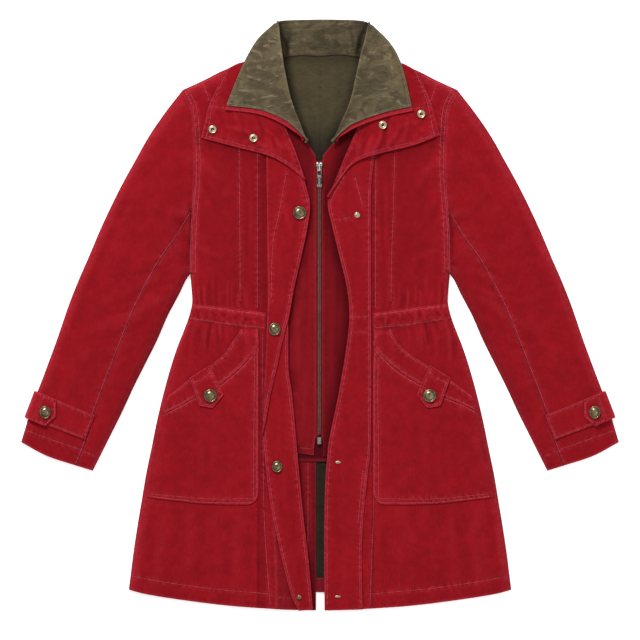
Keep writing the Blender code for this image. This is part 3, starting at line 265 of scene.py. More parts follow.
PLACKET_STITCHES = [
    [(56.0, 221.3), (64.0, 190.9), (68.8, 173.3)], [(68.5, -247.5), (64.0, -295.5), (60.8, -333.9)],
    [(30.4, 152.5), (52.8, 158.1)], [(48.0, -2.7), (78.8, -2.7)], [(48.0, -26.7), (78.8, -26.7)]]
LAPEL_SEAM = [(180, 336), (150, 331), (120, 326)]

FLAP_SHOWN = [(-44, 258), (-29, 228), (-22, 206)] + FLAP_FREE[2:]    # clear of the collar's corner
PLACKET_SHOWN = [(50, 262), (34, 224), (19, 197)] + PLACKET_FREE[2:]  # beside the lapel's edge
# lines along which the stand's end creases get painted shade
STAND_SHADE_LINES = [[(-65, 467), (-62, 450), (-54, 435), (-52, 421)],
                 [(75.5, 467), (63, 442), (59, 421)]]
VEST_RIGHT_TOP = [(-72, 334), (-54, 320), (-34.5, 300), (-20, 280.5), (-6.6, 255)]
VEST_LEFT_TOP = [(72, 332), (52, 314), (30.5, 291.5), (18.5, 276), (4.4, 255)]

# ---- creases: start x, y, end x, y, bend, half width, height; x from the centre line ----
CREASES_RIGHT = [
    (206, 170, 213, 84, 3, 4.5, -1.3),      # hollow of the armhole's lower end
    (214, 190, 206, 120, -3, 6, 0.9),
    (236, 250, 300, 110, 7, 9, 0.7),        # long soft folds down the sleeve
    (262, 290, 330, 120, -8, 8, -0.6),
    (300, 205, 352, 60, 6, 8, 0.7),
    (330, 150, 392, -30, -6, 8, -0.6),
    (232, 92, 300, 66, 6, 5, -0.9),         # creases inside the elbow
    (240, 60, 318, 30, -5, 5, 0.8),
    (258, 32, 342, 0, 5, 5, -0.8),
    (270, 0, 352, -36, -4, 6, 0.7),
    (292, -50, 362, -78, 4, 5, -0.6),
    (318, -105, 384, -128, -4, 6, 0.6),
    (346, -60, 398, -118, 5, 7, 0.6),
    (396, -60, 436, -110, -4, 6, -0.5),
    (198, 262, 146, 214, -6, 8, 0.8),       # drag lines from the armhole
    (196, 226, 160, 150, 5, 7, -0.6),
    (198, 118, 150, 92, -5, 7, 0.6),
    (188, 300, 172, 250, 4, 6, -0.5),
    (116, 240, 112, 110, 3, 5, 0.5),        # between the two rows on the chest
    (112, 205, 116, 60, -3, 4, -0.5),
    (150, 180, 146, 60, 5, 9, 0.5),
    (262, -214, 280, -400, 6, 9, 0.7),      # skirt
    (238, -320, 262, -436, -5, 8, -0.7),
    (206, -318, 214, -440, 4, 9, 0.6),
    (170, -322, 168, -446, -4, 7, -0.6),
    (136, -318, 140, -452, 4, 8, 0.7),
    (108, -316, 112, -440, -3, 7, -0.6),
    (286, -330, 262, -372, 4, 6, 0.4),
    (150, -352, 214, -376, 6, 8, 0.4),
    (116, -398, 190, -412, -5, 8, -0.4),
]
CREASES_LEFT = [
    (205, 176, 214, 92, -3, 4.5, -1.3),
    (213, 200, 207, 130, 3, 6, 0.8),
    (240, 262, 312, 96, -7, 9, 0.7),
    (256, 270, 322, 140, 8, 8, -0.6),
    (296, 190, 344, 40, -5, 9, 0.6),
    (338, 130, 384, -10, 6, 8, -0.6),
    (230, 84, 306, 52, -6, 5, -0.8),
    (246, 48, 330, 22, 5, 5, 0.8),
    (262, 20, 346, -18, -5, 6, -0.7),
    (280, -22, 350, -52, 4, 5, 0.6),
    (306, -80, 372, -100, -4, 6, -0.6),
    (352, -84, 410, -130, 4, 7, 0.6),
    (400, -40, 430, -104, 4, 7, -0.5),
    (197, 250, 152, 200, 6, 9, 0.8),
    (197, 206, 168, 132, -5, 7, -0.6),
    (196, 104, 148, 84, 5, 7, 0.6),
    (184, 290, 166, 236, -4, 6, -0.5),
    (104, 236, 102, 96, -3, 5, 0.5),
    (102, 190, 106, 50, 3, 4, -0.5),
    (146, 170, 150, 40, -5, 9, 0.5),
    (266, -230, 276, -410, -6, 9, 0.7),
    (244, -316, 256, -430, 5, 8, -0.7),
    (212, -322, 220, -446, -4, 9, 0.6),
    (178, -318, 174, -440, 4, 7, -0.6),
    (142, -322, 146, -456, -4, 8, 0.7),
    (104, -320, 108, -446, 3, 7, -0.6),
    (280, -320, 250, -362, -4, 6, 0.4),
    (140, -362, 206, -384, -6, 8, 0.4),
]
LINING_CREASES = [(-20, 390, -6, 300, 4, 6, -0.5), (24, 380, 10, 290, -4, 6, 0.5),
                  (0, 330, 4, 260, 2, 5, 0.4), (20, -250, 14, -400, 3, 5, 0.6),
                  (10, -230, 22, -330, -2, 4, -0.5)]
POCKET_CREASES = [(120, -120, 112, -240, 4, 8, 0.5), (160, -150, 170, -280, -5, 9, 0.6),
                  (214, -160, 226, -280, 5, 9, -0.5), (190, -180, 196, -292, 3, 7, 0.5),
                  (246, -180, 262, -280, -4, 8, 0.6), (110, -262, 150, -290, 4, 8, -0.4)]
VEST_CREASES = [(-30, 200, -34, 60, 3, 5, 0.6), (-22, 120, -26, -40, -3, 5, -0.5),
                (-36, 40, -28, -120, 4, 6, 0.6), (-24, -60, -30, -200, -3, 5, 0.5),
                (16, 180, 24, 60, 3, 5, 0.5), (28, 80, 20, -80, -3, 5, -0.5),
                (20, -20, 26, -160, 3, 6, 0.6), (-40, -120, -20, -150, 3, 4, 0.4)]
UNDERLAP_CREASES = [(-30, -240, -34, -330, 3, 5, 0.6), (-24, -300, -22, -420, -2, 4, -0.5),
                    (-36, -350, -30, -450, 2, 5, 0.5), (-12, -250, -13, -440, 1, 3, 0.5)]
STRIP_CREASES = [(-66, -40, -70, -150, 3, 6, 0.6), (-60, -120, -62, -230, -3, 6, -0.5),
                 (-56, -220, -52, -320, 3, 6, 0.5), (-48, -300, -40, -400, -3, 5, -0.5),
                 (-44, -380, -30, -450, 2, 5, 0.5), (-70, -200, -40, -216, 3, 5, 0.4)]
FLAP_CREASES = [(-60, 200, -40, 120, 4, 6, 0.6), (-40, 180, -44, 100, -3, 5, -0.5),
                (-66, 110, -58, 30, 3, 6, 0.5), (-52, 70, -60, -10, -3, 5, -0.5),
                (-74, 20, -66, -80, 3, 6, 0.6), (-80, -60, -82, -150, 2, 5, -0.4),
                (-30, 215, -24, 170, 2, 4, 0.5)]
PLACKET_CREASES = [(40, 220, 30, 150, 3, 6, 0.6), (56, 150, 60, 60, -3, 6, -0.5),
                   (64, 70, 58, -30, 3, 6, 0.6), (54, 0, 60, -110, -3, 6, 0.5),
                   (40, -110, 48, -210, 3, 6, -0.5), (30, -190, 36, -290, -3, 6, 0.5),
                   (26, -280, 34, -390, 3, 6, -0.5), (40, -370, 30, -460, -3, 6, 0.5),
                   (60, -200, 30, -214, 3, 5, 0.4), (22, -330, 60, -350, 3, 5, 0.35)]
LAPEL_CREASES = {
    -1: [(160, 300, 110, 290, 4, 5, 0.8), (120, 300, 84, 268, -4, 4, 0.9),
         (104, 322, 90, 282, 3, 4, -0.9), (90, 300, 60, 262, 4, 4, 0.8),
         (76, 290, 66, 256, -2, 3.5, -0.7), (140, 330, 126, 284, 3, 5, 0.6),
         (60, 280, 36, 236, 3, 4, 0.6), (168, 330, 150, 290, 3, 5, -0.5)],
    1: [(164, 310, 120, 296, 4, 5, 0.7), (128, 304, 96, 262, -4, 4, 0.9),
        (112, 318, 104, 272, 3, 3.5, -1.0), (98, 300, 84, 258, -3, 3.5, 0.9),
        (86, 296, 66, 252, 4, 4, -0.9), (140, 318, 130, 276, -3, 4, 0.7),
        (72, 300, 58, 256, 2, 3.5, 0.7), (54, 270, 32, 224, 3, 4, 0.6)]}
LEAF_CREASES = {
    -1: [(130, 372, 100, 344, 4, 5, 0.9), (120, 400, 90, 372, -4, 5, 0.8),
         (110, 432, 82, 404, 4, 5, -0.7), (96, 360, 60, 330, 4, 5, 0.8),
         (140, 350, 96, 336, -3, 4, -0.7), (80, 340, 40, 300, 3, 4, 0.6),
         (116, 384, 76, 362, 4, 4, 0.6)],
    1: [(128, 380, 98, 350, -4, 5, 0.9), (118, 410, 88, 380, 4, 5, 0.7),
        (104, 440, 82, 412, -4, 5, -0.7), (90, 352, 60, 326, 4, 5, 0.8),
        (138, 346, 92, 340, 3, 4, -0.7), (76, 330, 36, 292, -3, 4, 0.6)]}
STAND_CREASES = [(-44, 462, -50, 420, 3, 4, -1.3), (-36, 458, -40, 424, -3, 3.5, 1.1),
                 (-20, 450, -16, 422, 2, 5, 0.6), (6, 456, 2, 424, -2, 5, -0.6),
                 (34, 456, 38, 424, 3, 4, 1.0), (46, 462, 52, 422, -3, 4, -1.3),
                 (20, 446, 24, 420, 2, 4, 0.6)]

# ---- curves and patches -------------------------------------------------------------
def runs(points):
    """The points as an array, and where they lie along their line, from 0 to 1."""
    p = np.asarray(points, float)
    s = np.concatenate([[0.0], np.cumsum(np.hypot(*np.diff(p, axis=0).T))])
    return p, s / s[-1]


def span(points):
    """The length of the line through the points."""
    return float(np.hypot(*np.diff(np.asarray(points, float), axis=0).T).sum())


def hermite(q, start, leave, end, arrive):
    """From start to end as q goes from 0 to 1, with the slopes leave and arrive."""
    return ((2 * q ** 3 - 3 * q ** 2 + 1) * start + (q ** 3 - 2 * q ** 2 + q) * leave
            + (3 * q ** 2 - 2 * q ** 3) * end + (q ** 3 - q ** 2) * arrive)


def curve(points):
    """A smooth line through the points, as a function of 0 to 1 along its length."""
    p, s = runs(points)
    inner = (p[2:] - p[:-2]) / (s[2:] - s[:-2])[:, None]
    first = (p[1] - p[0]) / (s[1] - s[0])
    last = (p[-1] - p[-2]) / (s[-1] - s[-2])
    slope = np.vstack([first, inner, last])

    def at(t):
        t = np.clip(np.asarray(t, float), 0.0, 1.0)
        k = np.clip(np.searchsorted(s, t, side="right") - 1, 0, len(p) - 2)
        h = s[k + 1] - s[k]
        q, h = ((t - s[k]) / h)[..., None], h[..., None]
        return hermite(q, p[k], h * slope[k], p[k + 1], h * slope[k + 1])
    return at


def eased(table, t):
    """A smooth curve through the evenly spaced rows of a table column."""
    values = np.asarray(table, float)
    pos = np.clip(np.asarray(t, float), 0, 1) * (len(values) - 1)
    k = np.clip(pos.astype(int), 0, len(values) - 2)
    a, b = values[k], values[k + 1]
    before, after = values[np.maximum(k - 1, 0)], values[np.minimum(k + 2, len(values) - 1)]
    return hermite(pos - k, a, (b - before) / 2, b, (after - a) / 2)


def line(points):
    """Straight runs between the points, as a function of 0 to 1 along its length."""
    p, s = runs(points)
    return lambda t: np.stack([np.interp(t, s, p[:, 0]), np.interp(t, s, p[:, 1])], axis=-1)


def mirrored(points, side):
    """The same table for the wearer's right (side -1) or left (side +1)."""
    return [(side * x, y) for x, y in points]


def shifted(points, dx):
    return [(x + dx, y) for x, y in points]


def flipped(edge, side, dx=0.0):
    """An edge curve on the wearer's right (side -1) or left, moved out by dx."""
    return lambda t: edge(t) * np.array([side, 1.0]) + np.array([side * dx, 0.0])


def sub(edge, low, high):
    """Part of an edge curve, as a curve of its own."""
    return lambda t: edge(low + (high - low) * np.asarray(t, float))


def chain(first, second, share):
    """Two edge curves in a row; the first takes `share` of the whole."""
    def at(t):
        t = np.asarray(t, float)[..., None]
        a, b = first(np.clip(t[..., 0] / share, 0, 1)), second((t[..., 0] - share) / (1 - share))
        return np.where(t < share, a, b)
    return at


def patch(left, right, top, bottom):
    """A four-sided patch: u runs from left to right, v from top to bottom."""
    left, right, top, bottom = (edge if callable(edge) else curve(edge)
                                for edge in (left, right, top, bottom))
    corners = ((left(0.0) + top(0.0)) / 2, (right(0.0) + top(1.0)) / 2,
               (left(1.0) + bottom(0.0)) / 2, (right(1.0) + bottom(1.0)) / 2)

    def at(u, v):
        a, b = u[..., None], v[..., None]
        sides = (1 - a) * left(v) + a * right(v) + (1 - b) * top(u) + b * bottom(u)
        return sides - ((1 - b) * ((1 - a) * corners[0] + a * corners[1])
                        + b * ((1 - a) * corners[2] + a * corners[3]))
    return at


def quad(outer_top, outer_low, inner_top, inner_low):
    """A patch with four straight edges between its corners."""
    return patch([outer_top, outer_low], [inner_top, inner_low], [outer_top, inner_top],
                 [outer_low, inner_low])


def densely(points, step=6.0):
    """The smooth line through the points, as points about `step` apart, or as given."""
    if step is None:
        return points
    return curve(points)(np.linspace(0, 1, max(2, int(span(points) / step) + 1)))


def across(place, v, low=0.01, high=0.99, count=40, step=6.0):
    """A line over a patch, from one share of its width to another."""
    return densely(place(np.linspace(low, high, count), np.full(count, v)), step)


def down(place, u, low=0.01, high=0.99, count=40, step=6.0):
    """A line along a patch, from one share of its length to another."""
    return densely(place(np.full(count, u), np.linspace(low, high, count)), step)


def half_path(side, points):
    return densely(mirrored(points, side))


def moved(points, distance):
    """A line beside another one, to the left of its direction."""
    p = np.asarray(points, float)
    d = np.gradient(p, axis=0)
    d /= np.maximum(np.hypot(d[:, 0], d[:, 1]), 1e-9)[:, None]
    return p + distance * np.stack([-d[:, 1], d[:, 0]], axis=-1)


def beside(points, distance, count=90):
    """A line beside the smooth line through the points."""
    return moved(curve(points)(np.linspace(0.01, 0.99, count)), distance)


def edge_x(points):
    """Where an edge lies at each height y."""
    table = np.array(sorted((y, x) for x, y in points))
    return lambda y: np.interp(y, table[:, 0], table[:, 1])


# ---- heights ------------------------------------------------------------------------
def smooth(value, low, high):
    t = np.clip((value - low) / (high - low), 0.0, 1.0)
    return t * t * (3 - 2 * t)


def bell(distance, width):
    return np.exp(-(distance / width) ** 2)


def arch(t):
    return np.sin(math.pi * np.clip(t, 0, 1))


def distance_to(points, x, y):
    """Distance from each place to a line through the points."""
    best = np.full(np.shape(x), 1e9)
    for (ax, ay), (bx, by) in zip(points[:-1], points[1:]):
        dx, dy = bx - ax, by - ay
        t = np.clip(((x - ax) * dx + (y - ay) * dy) / (dx * dx + dy * dy), 0.0, 1.0)
        best = np.minimum(best, np.hypot(x - ax - t * dx, y - ay - t * dy))
    return best


def along(points, x, y, reach=24.0):
    """Distance to a line through the points, and how far along it the nearest place is."""
    best, where = np.full(np.shape(x), 1e9), np.zeros(np.shape(x))
    start = 0.0
    for (ax, ay), (bx, by) in zip(points[:-1], points[1:]):
        dx, dy = bx - ax, by - ay
        length = math.hypot(dx, dy)
        near = ((x > min(ax, bx) - reach) & (x < max(ax, bx) + reach)
                & (y > min(ay, by) - reach) & (y < max(ay, by) + reach))
        if near.any() and length > 0:
            qx, qy = x[near], y[near]
            t = np.clip(((qx - ax) * dx + (qy - ay) * dy) / length ** 2, 0, 1)
            d = np.hypot(qx - ax - t * dx, qy - ay - t * dy)
            closer = d < best[near]
            best[near] = np.where(closer, d, best[near])
            where[near] = np.where(closer, start + t * length, where[near])
        start += length
    return best, where


def outline_distance(x, y):
    """Distance to the nearest edge where the coat's outline is a fold."""
    return np.min([distance_to(table, x, y)
                   for table in (SHOULDER, SLEEVE_OUTER, SLEEVE_INNER, SIDE)], axis=0)


def on_fold(x, y, reach=1.2):
    """Where the outline of the coat is a fold, so the cloth turns down to the surface."""
    return outline_distance(np.abs(x), y) < reach


def roll(distance, width=ROLL):
    """0 at a folded edge, 1 where the cloth lies level: a quarter of an ellipse."""
    t = 1 - np.clip(distance / width, 0.0, 1.0)
    return np.sqrt(1 - t * t)


def front_top(x, y):
    """Height of the red front and sleeve cloth at a place."""
    x = np.abs(x)
    edge = outline_distance(x, y)
    z = BODY_Z + (CENTRE_Z - BODY_Z) * smooth(-x, -165, -92)
    z = z + SLEEVE_LOFT * smooth(edge, 10, 60) * smooth(x, 215, 290)
    z = z - HEM_DROP * smooth(-y, 380, 460) * smooth(x, 80, 160)
    z = z - CUFF_DROP * smooth(-distance_to(CUFF, x, y), -60, 0)
    for seam in (ARMHOLE, FOREARM_SEAM):
        z = z - SEAM_GROOVE * bell(distance_to(seam, x, y), SEAM_GROOVE_WIDTH)
    for ax, ay, bx, by, width, height in FOLDS:
        z = z + height * bell(distance_to([(ax, ay), (bx, by)], x, y), width)
    off = (y - WAIST_Y) ** 2
    near_waist = (np.exp(-off / 42.0 ** 2) - np.exp(-off / 17.0 ** 2)) * smooth(x, 84, 100)
    wave = np.cos(2 * math.pi * WAIST_PLEATS * (x - 90) / 120 + 0.9 * np.sin(x / 17.0))
    z = z + WAIST_PLEAT_DEPTH * near_waist * wave * smooth(-x, -205, -185)
    return EDGE_Z + (z - EDGE_Z) * roll(edge)


def flap_top(x, y, free_x):
    """Storm flap and placket: level over the inner panels, settling below them."""
    toward_free = smooth(-np.abs(x - free_x), -46, -4)
    return FLAP_Z - (FLAP_Z - FLAP_HEM_Z) * smooth(-y, 235, 300) * toward_free


def noise(x, y, scale, seed):
    """Smooth hills from -1 to 1, about `scale` millimetres apart."""
    gx, gy = np.asarray(x) / scale, np.asarray(y) / scale
    ix, iy = np.floor(gx), np.floor(gy)
    fx, fy = smooth(gx - ix, 0, 1), smooth(gy - iy, 0, 1)

    def corner(i, j):
        h = np.sin(i * 127.1 + j * 311.7 + seed * 74.7) * 43758.5453
        return 2 * (h - np.floor(h)) - 1
    low = corner(ix, iy) * (1 - fx) + corner(ix + 1, iy) * fx
    high = corner(ix, iy + 1) * (1 - fx) + corner(ix + 1, iy + 1) * fx
    return low * (1 - fy) + high * fy


def uneven(x, y, *hills):
    """Hills of several sizes on each other, each a height, a spacing and a seed."""
    return sum(high * noise(x, y, scale, seed) for high, scale, seed in hills)


def creases(x, y, rows):
    """Soft ridges and troughs: start x, y, end x, y, bend, half width, height."""
    z = np.zeros(np.shape(x))
    for x0, y0, x1, y1, bend, width, height in rows:
        dx, dy = x1 - x0, y1 - y0
        length = math.hypot(dx, dy)
        t = ((x - x0) * dx + (y - y0) * dy) / length ** 2
        off = ((x - x0) * dy - (y - y0) * dx) / length - 4 * bend * t * (1 - t)
        near = (t > 0) & (t < 1) & (np.abs(off) < 3 * width)
        z += np.where(near, height * arch(t) ** 0.7 * bell(off, width), 0)
    return z


# ---- meshes and cloth shells ----------------------------------------------------------
TREES = {}      # the top of each shell, for the stitches that lie on it
THREADS = {}    # points and faces of the stitches, by group


def mesh_object(name, points, faces, colour, body=None, node=None, rounded=True):
    """A mesh from points in millimetres with its material, parented to its body; it hides the solid
    of its node.
    """
    mesh = bpy.data.meshes.new(name)
    mesh.vertices.add(len(points))
    mesh.vertices.foreach_set("co", (np.asarray(points, float) * MM).astype(np.float32).ravel())
    faces = np.asarray(faces, np.int32)
    mesh.loops.add(faces.size)
    mesh.loops.foreach_set("vertex_index", faces.ravel())
    mesh.polygons.add(len(faces))
    starts = np.arange(0, faces.size, faces.shape[1], dtype=np.int32)
    mesh.polygons.foreach_set("loop_start", starts)
    mesh.polygons.foreach_set("use_smooth", np.full(len(faces), rounded))
    mesh.update(calc_edges=True)
    mesh.validate()
    obj = bpy.data.objects.new(name, mesh)
    bpy.context.scene.collection.objects.link(obj)
    mesh.materials.append(colour)
    if body:
        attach(obj, body)
    if node:
        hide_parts(node)
    return obj


def paint(obj, label, values):
    """A value from 0 to 1 at each point, which the material reads."""
    layer = obj.data.attributes.new(label, "FLOAT", "POINT")
    layer.data.foreach_set("value", np.clip(values, 0, 1).astype(np.float32))


def grid_faces(shape):
    """Point numbers of a grid, and its quads."""
    index = np.arange(shape[0] * shape[1]).reshape(shape)
    return index, np.stack([index[:-1, :-1], index[1:, :-1], index[1:, 1:], index[:-1, 1:]],
                           axis=-1).reshape(-1, 4)


def blurred(grid, rounds):
    """The grid evened out by its neighbours, a round at a time."""
    for _ in range(rounds):
        g = np.pad(grid, 1, mode="edge")
        grid = 0.4 * grid + 0.15 * (g[:-2, 1:-1] + g[2:, 1:-1] + g[1:-1, :-2] + g[1:-1, 2:])
    return grid


def nowhere(x, y, reach=0.0):
    return np.zeros(np.shape(x), bool)


def shell(node, place, size, height, colour, wall=PATCH_WALL, on=(), name=None, held="laid",
          step=STEP, hem=3.0, lines=(), group=None, stitched=None, faces_up=True,
          folded=nowhere, cut=None, pucker=1.0, shade=lambda x, y: 0.0, painted_highlight=0.0):
    """A thin shell over a patch, with a rounded edge all round and a turned hem under it.

    size is the cut's width and length in millimetres. cut, the area that the pattern takes
    where that isn't the area shown, is not used. lines are sewn: they pull the cloth in and
    pucker it, and those numbered in stitched, or all of them, show stitches in the group.
    folded tells which edge places fold down to the surface, and shade where painted shade
    darkens the cloth. The last argument lays a painted highlight over the whole shell.
    on, what it rests on, is not used.
    """
    name = (name or node) + "_cloth"
    wide, tall = (max(4, int(side / step)) + 1 for side in size)
    u, v = np.meshgrid(np.linspace(0, 1, wide), np.linspace(0, 1, tall))
    x, y = np.moveaxis(place(u, v), -1, 0).copy()
    rr, rc = np.array([(0, c) for c in range(wide)] + [(r, wide - 1) for r in range(1, tall)]
                      + [(tall - 1, c) for c in range(wide - 2, -1, -1)]
                      + [(r, 0) for r in range(tall - 2, 0, -1)]).T
    bx, by = x[rr, rc], y[rr, rc]
    area = 0.5 * np.sum(bx * np.roll(by, -1) - by * np.roll(bx, -1))
    tx, ty = (np.roll(b, -1) - np.roll(b, 1) for b in (bx, by))
    norm = np.maximum(np.hypot(tx, ty), 1e-9) * (1.0 if area > 0 else -1.0)
    ox, oy = ty / norm, -tx / norm

    # the top: puckers along the edge and along each sewn line
    z = height(x, y, u, v)
    outline = np.stack([bx, by], axis=-1)
    edge, run = along(np.vstack([outline, outline[:1]])[::2], x, y)
    # Pale along the edge: rubbed wear, and a painted highlight where the edge rounds over.
    rim = np.where(folded(x, y, 6.0), 4.2, 2.4)
    # The first term is a painted highlight laid over the whole shell.
    wear_and_highlight = painted_highlight + EDGE_WEAR_AND_HIGHLIGHT * bell(edge, rim) * (0.8 + 0.35 * noise(x, y, 14, 3))
    deep = np.zeros(np.shape(x))
    z = z - EDGE_PUCKER * pucker * bell(edge - 5.0, 4.0) * (
        1 + np.sin(run / 1.9 + 5 * noise(x, y, 25, 4)))
    for path in lines:
        d, s = along(path, x, y)
        wave = (np.sin(s * 0.62 + 7 * noise(x, y, 17, 5)) + 0.7 * noise(x, y, 4.5, 9)) * (
            0.55 + 0.5 * noise(x, y, 31, 6))
        z = z + pucker * (SEAM_PUCKER * wave * bell(d, 6.5) - SEAM_DIP * bell(d, 2.4))
        wear_and_highlight = wear_and_highlight + SEAM_WEAR * bell(d - 1.6, 1.8) * (0.7 + 0.5 * wave)
        # Painted shade in the dip of each sewn line.
        deep = deep + SEAM_SHADE * bell(d, 1.6) * (0.75 - 0.4 * wave)
    # Ridges are painted paler, rubbed wear and partly a painted highlight; hollows and the places
    # that shade names get painted shade.
    proud = z - blurred(z, 10)
    wear_and_highlight = wear_and_highlight + np.clip(proud, 0, 0.5) * 0.7
    deep = deep + np.clip(-proud, 0, 0.5) * 0.8 + shade(x, y)

    # the rounded edge and the hem, a row at a time
    half = wall / 2
    x[rr, rc], y[rr, rc] = bx - ox * half, by - oy * half
    ex, ey, ez = x[rr, rc], y[rr, rc], z[rr, rc]
    turned_down = folded(bx, by)
    drop = np.where(turned_down, np.maximum(ez / 2 - 0.15, half), half if faces_up else -half)
    under = np.where(turned_down, 2.5, hem)
    rows = [(x, y, z, wear_and_highlight, deep)]
    # Each rounded edge row is painted pale: rubbed wear, partly a painted highlight.
    for a in map(math.radians, (40, 90, 140, 180)):
        rows.append((ex + ox * half * math.sin(a), ey + oy * half * math.sin(a),
                     ez - drop * (1 - math.cos(a)), 0.75 + 0.3 * noise(ex, ey, 9, 8), 0 * ex))
    # The hem turned under the edge is painted with shade.
    rows.append((ex - ox * under, ey - oy * under, ez - 2 * drop, 0 * ex, 0 * ex + 0.3))
    *points, wear_and_highlight, deep = (np.concatenate([np.ravel(row[k]) for row in rows]) for k in range(5))
    points = np.stack(points, axis=-1)
    index, quads = grid_faces(u.shape)
    loops = [index[rr, rc]] + [u.size + k * len(rr) + np.arange(len(rr)) for k in range(5)]
    bands = [np.stack([a, np.roll(a, -1), np.roll(b, -1), b], axis=-1)
             for a, b in zip(loops[:-1], loops[1:])]
    faces = np.concatenate([quads] + bands)
    count = len(quads)
    if area > 0:
        faces[count:] = faces[count:, ::-1]
    p = points[quads[count // 2]]
    if np.cross(p[2] - p[0], p[3] - p[1])[2] < 0:
        faces[:count] = faces[:count, ::-1]
    if not faces_up:
        faces = faces[:, ::-1]
        points[:, 2] = np.maximum(points[:, 2], 0.0)

    obj = mesh_object(name, points, faces, colour, "coat", node=node)
    # Painted on the shell: rubbed wear with painted highlight, then painted shade.
    paint(obj, "wear_and_highlight", wear_and_highlight)
    paint(obj, "deep", deep)
    pattern = np.stack([u * size[0], v * size[1]], axis=-1)
    pattern = np.concatenate([pattern.reshape(-1, 2)] + [pattern[rr, rc]] * 5)
    corner = np.empty(len(obj.data.loops), dtype=np.int32)
    obj.data.loops.foreach_get("vertex_index", corner)
    uv = obj.data.uv_layers.new(name="cut")
    uv.data.foreach_set("uv", (pattern[corner] * MM).astype(np.float32).ravel())
    TREES[name] = BVHTree.FromPolygons(points.tolist(), quads.tolist())

    for k, path in enumerate(lines if group else ()):
        if stitched is None or k in stitched:
            stitch(group, name, path)


def stitch(group, name, path):
    """A row of stitches along a path, laid on the shell that it is sewn through."""
    p = np.asarray(path, float)
    s = np.concatenate([[0], np.cumsum(np.hypot(*np.diff(p, axis=0).T))])
    points, faces = THREADS.setdefault(group, ([], []))
    for k in range(int(s[-1] / STITCH_PITCH)):
        d = (k + 0.15) * STITCH_PITCH + np.array([0.0, 0.5, 1.0]) * STITCH_LENGTH
        px, py = np.interp(d, s, p[:, 0]), np.interp(d, s, p[:, 1])
        hits = [TREES[name].ray_cast(Vector((*at, 80.0)), Vector((0, 0, -1)))[0]
                for at in zip(px, py)]
        if any(hit is None for hit in hits):
            continue
        dx, dy = px[2] - px[0], py[2] - py[0]
        norm = max(math.hypot(dx, dy), 1e-6)
        nx, ny = -dy / norm * STITCH_WIDTH / 2, dx / norm * STITCH_WIDTH / 2
        start = len(points)
        for cx, cy, hit, lift, wide in zip(px, py, hits, (0, STITCH_ARCH, 0), (0.6, 1.0, 0.6)):
            points += [(cx + nx * wide, cy + ny * wide, hit.z - STITCH_SUNK),
                       (cx, cy, hit.z + STITCH_RISE + lift),
                       (cx - nx * wide, cy - ny * wide, hit.z - STITCH_SUNK)]
        faces += [(q, q + 1, q + 4, q + 3) for q in (start, start + 1, start + 3, start + 4)]


# ---- fronts and sleeves -----------------------------------------------------------------
SIDES = {-1: "right", 1: "left"}    # the wearer's, by the sign of x
GATHER_SEED, HILL_SEED = {-1: 11, 1: 23}, {-1: 20, 1: 40}
ARMHOLE_ROWS = (2.6, 8.2)           # stitch rows on the front, from the armhole seam
UNDER_SLIM = 1.4                    # how far the under sleeve stays inside the outline
ARM = curve(ARMHOLE)
FOREARM = curve(FOREARM_SEAM)
HEAD_SHARE = float(runs(ARMHOLE)[1][ARMHOLE.index((205, 164))])
SLEEVE_HEAD = (220, 361)


def gathers(side):
    """Short folds that the drawn-up waist sends up and down, uneven as cloth is."""
    rows = []
    pick = np.random.default_rng(GATHER_SEED[side]).random
    for k in range(WAIST_FOLDS):
        share = (k + 0.5 + 0.5 * (pick() - 0.5)) / WAIST_FOLDS
        x = 92 + 112 * share
        strong = 0.35 + 0.65 * share
        up, down = 16 + 42 * pick() * strong, 14 + 46 * pick() * strong
        lean = 10 * (pick() - 0.5) + 9 * share
        for start, end_x, end_y, bend, width, wider in (
                (8, 0.4 * lean, 18 + up, 2.0, 2.4, 2.6), (-8, lean, -20 - down, -2.0, 2.6, 2.8)):
            deep = (0.35 + 1.1 * pick() ** 1.5) * strong
            rows.append((x, start, x + end_x, end_y, bend, width + wider * pick(),
                         deep if pick() < 0.6 else -deep))
    return rows


SIDE_CREASES = {-1: CREASES_RIGHT + gathers(-1), 1: CREASES_LEFT + gathers(1)}


def relief(side, x, y):
    """What the cloth of a half does beyond the form of its solid."""
    x = np.abs(x)
    seed = HILL_SEED[side]
    soft = uneven(x, y, (0.42, 46, seed), (0.30, 21, seed + 1), (0.13, 9, seed + 2))
    calm = 1.5 - 0.9 * smooth(x, 205, 235) - 1.0 * smooth(-y, 285, 330)
    return (calm * creases(x, y, SIDE_CREASES[side]) + soft) * smooth(
        outline_distance(x, y), 1.0, 12.0)


def beside_flap(side):
    """Painted shade: the dark line of the last pleat, the shaded channel to the seam of the flap, a
    little over the chest, and a painted shadow under the lapel.
    """
    line_x = 99.0 if side < 0 else 84.8
    lapel = LAPEL_RIGHT if side < 0 else LAPEL_LEFT
    under_lapel = curve(lapel["bottom"])(np.linspace(0, 1, 24))

    def shade(x, y):
        ax = np.abs(x)
        chest = 0.12 * smooth(y, 10, 60) * smooth(-ax, -190, -150)
        chest = chest + 0.34 * bell(distance_to(under_lapel, x, y), 17.0)
        channel = 0.30 * smooth(ax, 84, 88) * smooth(-ax, -99, -96) if side < 0 else 0.0
        lower = 0.6 + 0.4 * smooth(-y, -60, 0)
        dark_line = 0.62 * bell(ax - line_x, 1.6) * lower
        return (channel + dark_line) * smooth(-y, -262, -240) + chest
    return shade


